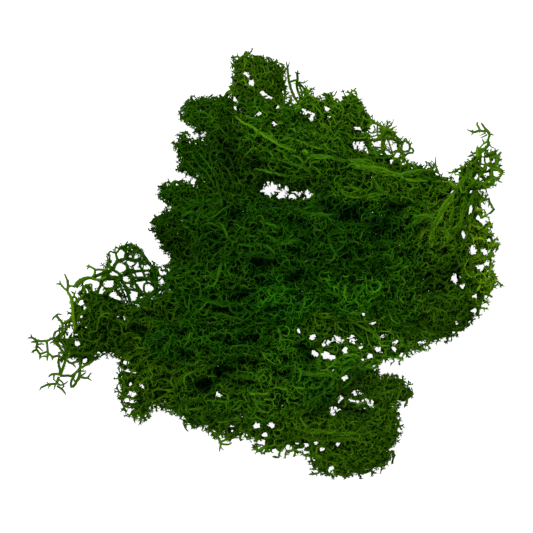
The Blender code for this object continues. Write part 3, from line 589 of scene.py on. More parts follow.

# %% [markdown]
# Thick pale stalks lie bare on some tufts: the clump was torn from its cushion there.
# They carry the eye across the photograph, so each is given one by one: the tuft that it
# belongs to, how far under the tuft's surface it runs in mm, how many times as bright as
# the tuft it is, and its points as pixels with its width there, also in pixels. A real
# stalk is a few old stems grown together, so it is built as strands side by side.

# %% The bare stalks
STALKS = [
    ("right_body", 0.2, 1.8, [(456, 191, 3), (449, 200, 5.5), (443, 209, 8), (437, 218, 9.5),
        (434, 226, 7), (432, 236, 5), (431, 247, 4)]),
    ("right_body", 0.4, 1.6, [(436, 218, 7), (427, 217, 6), (419, 219, 5), (412, 224, 4)]),
    ("right_body", 0.4, 1.6, [(433, 227, 6), (427, 230, 5), (421, 235, 4), (417, 241, 3)]),
    ("right_body", 0.4, 1.6, [(437, 226, 5), (445, 231, 4), (450, 240, 3)]),
    ("right_fan", 0.3, 1.3, [(470, 175, 5), (462, 182, 5), (455, 190, 5)]),
    ("right_fan", 0.5, 1.0, [(476, 190, 4), (468, 205, 4), (460, 220, 4), (455, 235, 3)]),
    ("upper_right_arm", 0.1, 1.5, [(350, 165, 4), (362, 167, 6), (375, 170, 7), (388, 173, 7),
        (400, 175, 6), (418, 172, 4), (434, 170, 3)]),
    ("upper_right_arm", 0.2, 1.4, [(352, 160, 4), (366, 162, 5), (380, 168, 5)]),
    ("upper_right_arm", 0.4, 1.0, [(372, 178, 5), (382, 190, 5), (391, 198, 5), (402, 204, 4)]),
    ("upper_right_arm", 0.3, 1.2, [(396, 176, 4), (410, 180, 4), (428, 182, 3)]),
    ("upper_middle", 0.2, 1.3, [(304, 152, 3), (312, 156, 3), (330, 158, 4), (350, 161, 4),
        (366, 164, 3)]),
    ("top_tuft", 0.5, 1.0, [(258, 130, 2.4), (270, 138, 3), (284, 146, 3), (294, 152, 2.4)]),
    ("upper_middle", 0.3, 1.6, [(303, 150, 4), (308, 155, 5), (313, 159, 3)]),
    ("upper_middle", 0.5, 1.0, [(338, 183, 3), (343, 192, 4), (353, 197, 4), (370, 196, 4),
        (387, 193, 3)]),
    ("centre_right_mound", 0.3, 1.0, [(328, 226, 4), (345, 224, 4), (362, 226, 4),
        (380, 224, 3)]),
    ("centre_right_mound", 0.4, 1.0, [(330, 232, 4), (350, 231, 4), (372, 231, 3)]),
    ("centre_crown", 0.3, 1.0, [(260, 220, 4), (270, 225, 4), (281, 228, 3)]),
    ("centre_stalks", 0.3, 1.0, [(260, 233, 4), (271, 238, 4), (281, 243, 5), (291, 242, 4),
        (299, 239, 3)]),
    ("centre_stalks", 0.4, 1.0, [(243, 253, 3), (258, 256, 4), (276, 256, 3)]),
    ("left_middle", 0.3, 1.0, [(198, 299, 4), (212, 301, 4), (226, 304, 5), (242, 305, 3)]),
    ("left_middle", 0.4, 1.0, [(203, 310, 4), (220, 315, 5), (241, 319, 3)]),
    ("lower_middle_right", 0.3, 1.0, [(298, 372, 4), (312, 374, 4), (326, 376, 4),
        (338, 379, 3)]),
    ("lower_middle_left", 0.3, 1.0, [(223, 374, 4), (240, 376, 4), (262, 379, 3)]),
    ("bottom_right_lobe", 0.5, 1.0, [(292, 427, 3), (310, 431, 4), (330, 433, 3), (352, 434, 3),
        (376, 434, 2.4)]),
    ("bottom_right_lobe", 0.5, 1.0, [(292, 437, 3), (312, 438, 4), (334, 440, 3), (356, 439, 3),
        (372, 446, 2.4)]),
    ("bottom_right_lobe", 0.7, 1.0, [(318, 441, 3), (330, 450, 3), (345, 458, 2.4),
        (358, 466, 2)]),
    ("left_head_middle", -0.2, 1.3, [(216, 188, 2), (210, 178, 2), (200, 165, 2), (190, 152, 2)]),
    ("left_head_middle", -0.2, 1.3, [(214, 176, 2), (206, 162, 2), (196, 148, 2)]),
    ("left_head_middle", -0.1, 1.25, [(218, 176, 2), (210, 160, 2), (203, 146, 2)]),
    ("left_head_middle", -0.1, 1.25, [(208, 184, 2), (197, 172, 2), (186, 160, 2)]),
    ("left_head_high", 0.0, 1.15, [(226, 150, 2), (214, 135, 2), (203, 120, 2)]),
    ("left_head_high", 0.0, 1.15, [(230, 142, 2), (220, 126, 2), (212, 112, 2)]),
    ("back_ridge", 0.5, 1.0, [(240, 190, 2.4), (228, 172, 2.4), (216, 158, 2)]),
    ("dark_tuft", 0.3, 1.0, [(352, 398, 5), (368, 397, 5), (384, 393, 4), (398, 390, 3)]),
    ("middle_right", 0.3, 1.0, [(300, 212, 4), (316, 216, 5), (334, 214, 4)]),
    ("top_tuft", 0.1, 1.15, [(236, 116, 2.4), (254, 130, 2.6), (278, 144, 3), (296, 152, 3)]),
    ("upper_middle", 0.1, 1.15, [(270, 158, 2.4), (290, 164, 3), (312, 168, 3)]),
    ("upper_middle", 0.2, 1.1, [(254, 170, 2.4), (282, 174, 2.6), (310, 178, 2.4)]),
    ("upper_middle", 0.1, 1.15, [(290, 140, 2.4), (312, 146, 3), (336, 153, 3)]),
]
STRAND_RADIUS = 0.26
STRAND_SWAY = 0.2
STRAND_JITTER = 0.07
eased_top = softened(top, 5)


def through_points(points, spacing):
    """A smooth line through points, with a point every spacing along it."""
    points = np.asarray(points, dtype=float)
    before = np.vstack([2.0 * points[0] - points[1], points[:-1]])
    after = np.vstack([points[1:], 2.0 * points[-1] - points[-2]])
    line = []
    for number in range(len(points) - 1):
        a, b, c, d = before[number], points[number], points[number + 1], after[number + 1]
        parts = max(1, int(round(np.linalg.norm((c - b)[:3]) / spacing)))
        for share in np.arange(parts) / parts:
            line.append(0.5 * (2.0 * b + (c - a) * share
                               + (2.0 * a - 5.0 * b + 4.0 * c - d) * share ** 2
                               + (3.0 * b - a - 3.0 * c + d) * share ** 3))
    line.append(points[-1])
    return np.array(line)


def stalk_lines(depth, points, chance):
    """A bare stalk as the strands that run side by side in it: places and radii in mm.
    Both ends of the stalk dive under."""
    plan = in_plan([point[:2] for point in points])
    row, column = in_cells(plan)
    radius = np.array([point[2] for point in points]) * PIXEL / 2.0
    height = eased_top[row, column] - depth - STRAND_RADIUS
    height[0] -= 1.0
    height[-1] -= 0.5
    middle = through_points(np.column_stack([plan, height, radius]), 0.6)
    along = unit(np.gradient(middle[:, :2], axis=0))
    across = np.column_stack([-along[:, 1], along[:, 0]])
    strands = max(1, int(round(radius.max() / STRAND_RADIUS)))
    strands += strands > 1
    lines = []
    for strand in range(strands):
        side = (2.0 * (strand + 0.5) / strands - 1.0) if strands > 1 else 0.0
        spread_out = side * np.maximum(middle[:, 3] - 0.7 * STRAND_RADIUS, 0.0)
        sway = STRAND_SWAY * np.sin(np.arange(len(middle)) * chance.uniform(0.3, 0.8)
                                    + chance.uniform(0.0, 6.0))
        line = middle.copy()
        line[:, :2] += across * (spread_out + sway)[:, None]
        line[:, 2] -= 0.5 * np.abs(spread_out) + chance.uniform(0.0, 0.25)
        line[:, :3] += chance.normal(0.0, STRAND_JITTER, (len(line), 3))
        line[:, 3] = np.minimum(middle[:, 3], STRAND_RADIUS) * chance.uniform(0.8, 1.2)
        line[:, 3] *= chance.uniform(0.85, 1.1, len(line))
        lines.append(line)
    return lines


print("bare stalks:", len(STALKS))

# %% [markdown]
# The edge gets twigs of its own: each is led from the nearest joint out to a place along
# the edge, a few stand out further, and most end in an antler of two or three points.
# The rims of the wider see-through places get shorter ones, like teeth.

# %% Antlers along the edge and teeth around the rims
MARGIN_SPACING = 0.75
MARGIN_OUT = (-0.5, 0.35)
MARGIN_CROWN = 1.35
LONG_TIP = 0.65
LONG_SHARE = 0.4
HEAD_OUT = (-0.6, 0.1)
HEAD_CROWN = 0.9
HEAD_LONG_SHARE = 0.05
TEETH_SPACING = 0.9
TEETH_OUT = (-0.1, 0.35)
TEETH_CROWN = 0.8
WIDE_HOLE = 3.9
MARGIN_TWIG = 0.18
MARGIN_REACH = 4.0
EDGE_STRAY = 0.35
PRONG_RADIUS = 0.14
PRONG_CROWN = 0.8
WOOD_LOW = 0.5


def turned(vector, angle):
    """A vector of the plan turned by an angle in radians."""
    return np.array([vector[0] * math.cos(angle) - vector[1] * math.sin(angle),
                     vector[0] * math.sin(angle) + vector[1] * math.cos(angle)])


def margin_spots(spacing):
    """Places along the clump's edge, in mm, and the way outward at each."""
    corners = in_plan(OUTLINE)
    after = np.roll(corners, -1, axis=0)
    area = (corners[:, 0] * after[:, 1] - corners[:, 1] * after[:, 0]).sum()
    spots = []
    outward = []
    for start, end in zip(corners, after):
        along = end - start
        length = np.linalg.norm(along)
        normal = np.array([along[1], -along[0]]) / length * np.sign(area)
        for share in np.arange(0.5 * spacing, length, spacing) / length:
            spots.append(start + along * share)
            outward.append(normal)
    return np.array(spots), np.array(outward)


def hole_spots(spacing):
    """Places around the wider see-through places, and the way to the middle of each."""
    spots = []
    inward = []
    for x, y, half_width, half_height, turn in SEE_THROUGH:
        if half_width < WIDE_HOLE:
            continue
        middle = in_plan((x, y))
        size = np.array([half_width, half_height]) * PIXEL
        count = int(2.0 * math.pi * size.mean() / spacing)
        for angle in np.arange(count) * 2.0 * math.pi / count:
            offset = size * (math.cos(angle), math.sin(angle))
            offset = turned(offset, math.radians(turn))
            spots.append(middle + offset)
            inward.append(-offset / np.linalg.norm(offset))
    return np.array(spots), np.array(inward)


def add_margin(number, skeleton, spots, ways, reach_out, size, long_share, chance):
    """Leads twigs out to an edge, where each ends in an antler of points. size is that of
    the crown on each end, and long_share is how many stand out further."""
    row, column = in_cells(spots - 0.5 * ways)
    mine = np.flatnonzero(owner[row, column] == number)
    for spot in mine:
        low = max(under[row[spot], column[spot]], WOOD_LOW)
        high = max(top[row[spot], column[spot]], low + 0.5)
        outward = turned(ways[spot], chance.normal(0.0, EDGE_STRAY))
        further = LONG_TIP if chance.random() < long_share else 0.0
        plan = spots[spot] + outward * (chance.uniform(*reach_out) + further)
        goal = np.array([plan[0], plan[1], low + (high - low) * chance.uniform(0.2, 0.8)])
        gaps = np.linalg.norm((skeleton["place"] - goal) * STRETCH, axis=1)
        host = int(gaps.argmin())
        if gaps[host] > MARGIN_REACH:
            continue
        start = skeleton["place"][host]
        steps = max(2, int(round(gaps[host] / 0.5)))
        shares = np.arange(1, steps + 1)[:, None] / steps
        line = start + (goal - start) * shares
        line += chance.normal(0.0, 0.08, line.shape)
        first = len(skeleton["place"])
        parent = np.arange(first - 1, first + steps - 1)
        parent[0] = host
        add_joints(skeleton, line, parent, MARGIN_TWIG, size)
        for side in (-1.0, 1.0):
            if chance.random() < 0.5:
                lean = turned(outward, side * chance.uniform(0.6, 1.1))
                length = chance.uniform(0.35, 0.6)
                prong = line[-2] + np.array([lean[0], lean[1], 0.2]) * length
                add_joints(skeleton, prong[None], np.array([first + steps - 2]),
                           PRONG_RADIUS, PRONG_CROWN)


edge_spots, edge_outward = margin_spots(MARGIN_SPACING)
rim_spots, rim_inward = hole_spots(TEETH_SPACING)
print("antlers along the edge:", len(edge_spots), "and teeth around the rims:", len(rim_spots))

# %% [markdown]
# No two tufts are alike. The small round heads and the two lower tufts at the right are
# FINE: their twigs are thin and close, on extra food. The frayed tufts at the edge are
# THIN, with the same twigs on no extra food, and the HEADS have a smooth close edge. The
# lacy crown at the left and the rosette are BARE: no old wood closes them, and their
# main twigs are given one by one. LACY is the share of the usual food that a tuft gets.
# GRAINS is the direction in the plan, in degrees, that a tuft's twigs were combed to,
# and how strongly.

# %% Grow every tuft
FINE = ("left_head_high", "left_head_middle", "left_head_low", "shoulder_head", "top_floret",
        "bottom_right_lobe", "dark_tuft")
HEADS = ("left_head_high", "left_head_middle", "left_head_low", "shoulder_head", "top_floret")
THIN = ("right_margin", "upper_right_tuft", "lower_left_lobe", "bottom_fringe")
BARE = ("left_crown", "rosette")
LACY = {"openwork": 0.75, "left_crown": 1.0, "rosette": 0.4, "upper_right_tuft": 0.6,
        "right_margin": 0.75, "bottom_fringe": 0.7, "lower_left_lobe": 0.8}
GRAINS = {
    "top_tuft": (-38, 1.0), "upper_middle": (-20, 1.2), "upper_right_arm": (-8, 1.6),
    "right_fan": (58, 1.6), "upper_right_tuft": (60, 0.8), "right_margin": (80, 0.6),
    "right_body": (62, 1.3), "middle_right": (15, 1.0), "centre_crown": (0, 0.4),
    "centre_stalks": (0, 1.0), "centre_right_mound": (5, 0.4), "centre_mound": (0, 0.2),
    "middle_band_left": (0, 0.2), "middle_band_right": (-5, 0.9), "openwork": (-3, 1.3),
    "left_middle": (-8, 0.4), "left_body": (5, 0.3), "lower_middle_left": (-3, 0.5),
    "lower_middle_right": (-8, 0.5), "lower_centre": (0, 0.3), "bottom_fringe": (-20, 0.6),
    "bottom_right_lobe": (3, 0.9), "dark_tuft": (12, 0.9), "lower_left_band": (-5, 0.6),
    "left_head_high": (160, 0.6), "left_head_middle": (150, 0.6), "back_ridge": (-50, 0.6),
    "left_head_low": (175, 0.6),
}
OLD_FOOD = 0.3
OLD_LAYER = 3.0
OLD_SHARES = (0.1, 0.45)
CANOPY_FOOD = 2.0
CANOPY_DEPTH = 5.0
FINE_FOOD = 1.4
ROOT_INWARD = 3.0
ROOT_RADIUS = 0.3
STRAND_LEAST = 0.14


def grain_of(name):
    """The direction that a tuft's twigs lean to."""
    degrees, strength = GRAINS.get(name, (0.0, 0.0))
    turn = math.radians(degrees)
    return math.sqrt(strength) * np.array([math.cos(turn), math.sin(turn), 0.0])


def grow_tuft(number, name):
    """One tuft's skeleton: a root, old wood, a canopy, bare stalks and antlers."""
    chance = np.random.default_rng([SEED, number])
    food, high = strewn(number, OLD_FOOD * OLD_LAYER, *OLD_SHARES, chance)
    middle = food[:, :2].mean(axis=0)
    inward = -middle / max(np.linalg.norm(middle), 1e-6)
    start = food[np.linalg.norm(food[:, :2] - middle - ROOT_INWARD * inward, axis=1).argmin()]
    skeleton = {}
    add_joints(skeleton, start[None], np.array([NO_PARENT]), ROOT_RADIUS, 0.0)
    if name not in BARE:
        feed(skeleton, food, chance, OLD_WOOD, grain_of(name))
    pace = FINE_CANOPY if name in FINE + THIN + BARE else CANOPY
    amount = CANOPY_FOOD * CANOPY_DEPTH * LACY.get(name, 1.0)
    if name in FINE:
        amount *= FINE_FOOD
    food, high = strewn(number, amount, 0.0, 1.0, chance)
    food[:, 2] = high - CANOPY_DEPTH * chance.random(len(food))
    row, column = in_cells(food)
    food = food[food[:, 2] > np.maximum(under[row, column], FOOD_LOW)]
    feed(skeleton, food, chance, pace, grain_of(name))
    for tuft, depth, shine, points in STALKS:
        if tuft == name:
            for line in stalk_lines(depth, points, chance):
                first = len(skeleton["place"])
                parent = np.arange(first - 1, first + len(line) - 1)
                parent[0] = NO_PARENT
                add_joints(skeleton, line[:, :3], parent, STRAND_LEAST, 0.0, line[:, 3], shine)
    if name in BARE:
        return skeleton
    if name in HEADS:
        add_margin(number, skeleton, edge_spots, edge_outward, HEAD_OUT, HEAD_CROWN,
                   HEAD_LONG_SHARE, chance)
    else:
        add_margin(number, skeleton, edge_spots, edge_outward, MARGIN_OUT, MARGIN_CROWN,
                   LONG_SHARE, chance)
    add_margin(number, skeleton, rim_spots, rim_inward, TEETH_OUT, TEETH_CROWN, 0.0, chance)
    return skeleton


skeletons = {}
for number, name in enumerate(tuft_names):
    skeletons[name] = grow_tuft(number, name)
print("twig joints:", sum(len(skeleton["place"]) for skeleton in skeletons.values()))

# %% [markdown]
# A stem is as thick as what it carries: the pipe rule adds up the strengths of the twigs
# above each joint. The bare stalks keep the widths that they have in the photograph.

# %% Thickness of the twigs
PIPE = 3.1
THICKEST = 0.37


def thickness(skeleton):
    """Radii by the pipe rule: a branch is as strong as all that grows from it."""
    parent = skeleton["parent"]
    strength = np.zeros(len(parent))
    for joint in range(len(parent) - 1, -1, -1):
        strength[joint] = max(strength[joint], skeleton["least"][joint] ** PIPE)
        if parent[joint] >= 0:
            strength[parent[joint]] += strength[joint]
    radius = np.minimum(strength ** (1.0 / PIPE), np.maximum(skeleton["least"], THICKEST))
    return np.where(skeleton["fixed"] > 0.0, skeleton["fixed"], radius)


print("stems of the canopy are at most", 2.0 * THICKEST, "mm thick")

# %% [markdown]
# Seen from above the real clump lets no light through but at its lacy places. Old dead
# wood at the bottom is what closes it. So the cells that stay open are found, and
# low thick twigs grow towards them.

# %% Close the clump with old wood
CLOSING = {"step": 0.85, "kill": 0.3, "reach": 6.0, "wobble": 0.1, "keep_on": 0.1,
           "least": 0.5, "crown": 0.0}
SEEN_WIDTH = 0.5
EDGE_CLEAR = 5
HOLE_CLEAR = 2
CLOSING_ROUNDS = 2
CLOSING_SHARES = (0.15, 0.55)
closed_zone = inset(full, EDGE_CLEAR) & inset(ground, HOLE_CLEAR)


def cover(skeleton, map_of_cells):
    """Marks the cells that a skeleton's twigs hide."""
    parent = skeleton["parent"]
    radius = SEEN_WIDTH * thickness(skeleton)
    has = np.flatnonzero(parent >= 0)
    start = skeleton["place"][parent[has], :2]
    end = skeleton["place"][has, :2]
    reach = range(-2, 3)
    for share in np.linspace(0.0, 1.0, 5):
        spot = start + (end - start) * share
        row, column = in_cells(spot)
        for row_step in reach:
            for column_step in reach:
                to_row = np.clip(row + row_step, 0, MAP_SHAPE[0] - 1)
                to_column = np.clip(column + column_step, 0, MAP_SHAPE[1] - 1)
                away = np.linalg.norm(middles[to_row, to_column] - spot, axis=1)
                hides = away < radius[has]
                map_of_cells[to_row[hides], to_column[hides]] = True


def open_cells(when):
    """The cells that should be closed and aren't. Prints their share."""
    hidden = np.zeros(MAP_SHAPE, dtype=bool)
    for skeleton in skeletons.values():
        cover(skeleton, hidden)
    leaks = closed_zone & ~hidden
    print("open share", when + ":", round(float(leaks.sum() / closed_zone.sum()), 4))
    return leaks


for round_number in range(CLOSING_ROUNDS):
    leaks = open_cells("before closing")
    for number, name in enumerate(tuft_names):
        chance = np.random.default_rng([SEED, number, round_number])
        row, column = np.nonzero(leaks & (owner == number))
        if len(row) == 0 or name in BARE:
            continue
        low = np.maximum(under[row, column], WOOD_LOW)
        share = chance.uniform(*CLOSING_SHARES, len(row))
        height = low + (top[row, column] - low) * share
        food = np.column_stack([middles[row, column], height])
        feed(skeletons[name], food, chance, CLOSING, grain_of(name))

# %% [markdown]
# A few pinholes are left that the growth can't reach, because its twigs may not come
# too close to each other. One short thick twig is laid over each of them.

# %% Bridge the last pinholes
BRIDGE_GAP = 0.25
BRIDGE_END = 0.4
BRIDGE_RADIUS = 0.4
BRIDGE_SHARE = 0.3
BRIDGE_ROUNDS = 2
BRIDGE_SEED = 50


def bridge(skeleton, spots, chance):
    """Leads one short twig over each open spot that no earlier bridge has closed."""
    done = np.zeros((0, 3))
    for spot in chance.permutation(spots):
        if len(done) and np.linalg.norm(done[:, :2] - spot[:2], axis=1).min() < BRIDGE_GAP:
            continue
        host = int(np.linalg.norm((skeleton["place"] - spot) * STRETCH, axis=1).argmin())
        start = skeleton["place"][host]
        way = unit((spot - start + chance.normal(0.0, 0.05, 3))[None])[0]
        line = np.array([spot, spot + way * BRIDGE_END])
        first = len(skeleton["place"])
        add_joints(skeleton, line, np.array([host, first]), BRIDGE_RADIUS, 0.0)
        done = np.vstack([done, spot])


for round_number in range(BRIDGE_ROUNDS):
    leaks = open_cells("before the bridges")
    for number, name in enumerate(tuft_names):
        if name in BARE:
            continue
        chance = np.random.default_rng([SEED, number, BRIDGE_SEED + round_number])
        row, column = np.nonzero(leaks & (owner == number))
        low = np.maximum(under[row, column], WOOD_LOW)
        height = low + (top[row, column] - low) * BRIDGE_SHARE
        bridge(skeletons[name], np.column_stack([middles[row, column], height]), chance)
open_cells("at the end")
print("twig joints:", sum(len(skeleton["place"]) for skeleton in skeletons.values()))

# %% [markdown]
# The open sprigs beyond the edge can be followed twig by twig in the photograph, so they
# are given one by one like the bare stalks: lines of pixels with the width at each point. So
# are the main twigs of the lacy tufts, where single twigs stand against the white.

# %% The open sprigs and the main twigs of the lacy tufts
ROSETTE_MIDDLE = (386.0, 132.0)
RAY_TURN = 0.42


def rosette_ray(turn):
    """One of the twigs that run out from the rosette's middle, a little curled."""
    x, y = ROSETTE_MIDDLE
    return [(x, y, 2.2),
            (x + 4.0 * math.cos(turn), y + 4.0 * math.sin(turn), 2.2),
            (x + 7.5 * math.cos(turn + 0.3), y + 7.5 * math.sin(turn + 0.3), 1.2)]


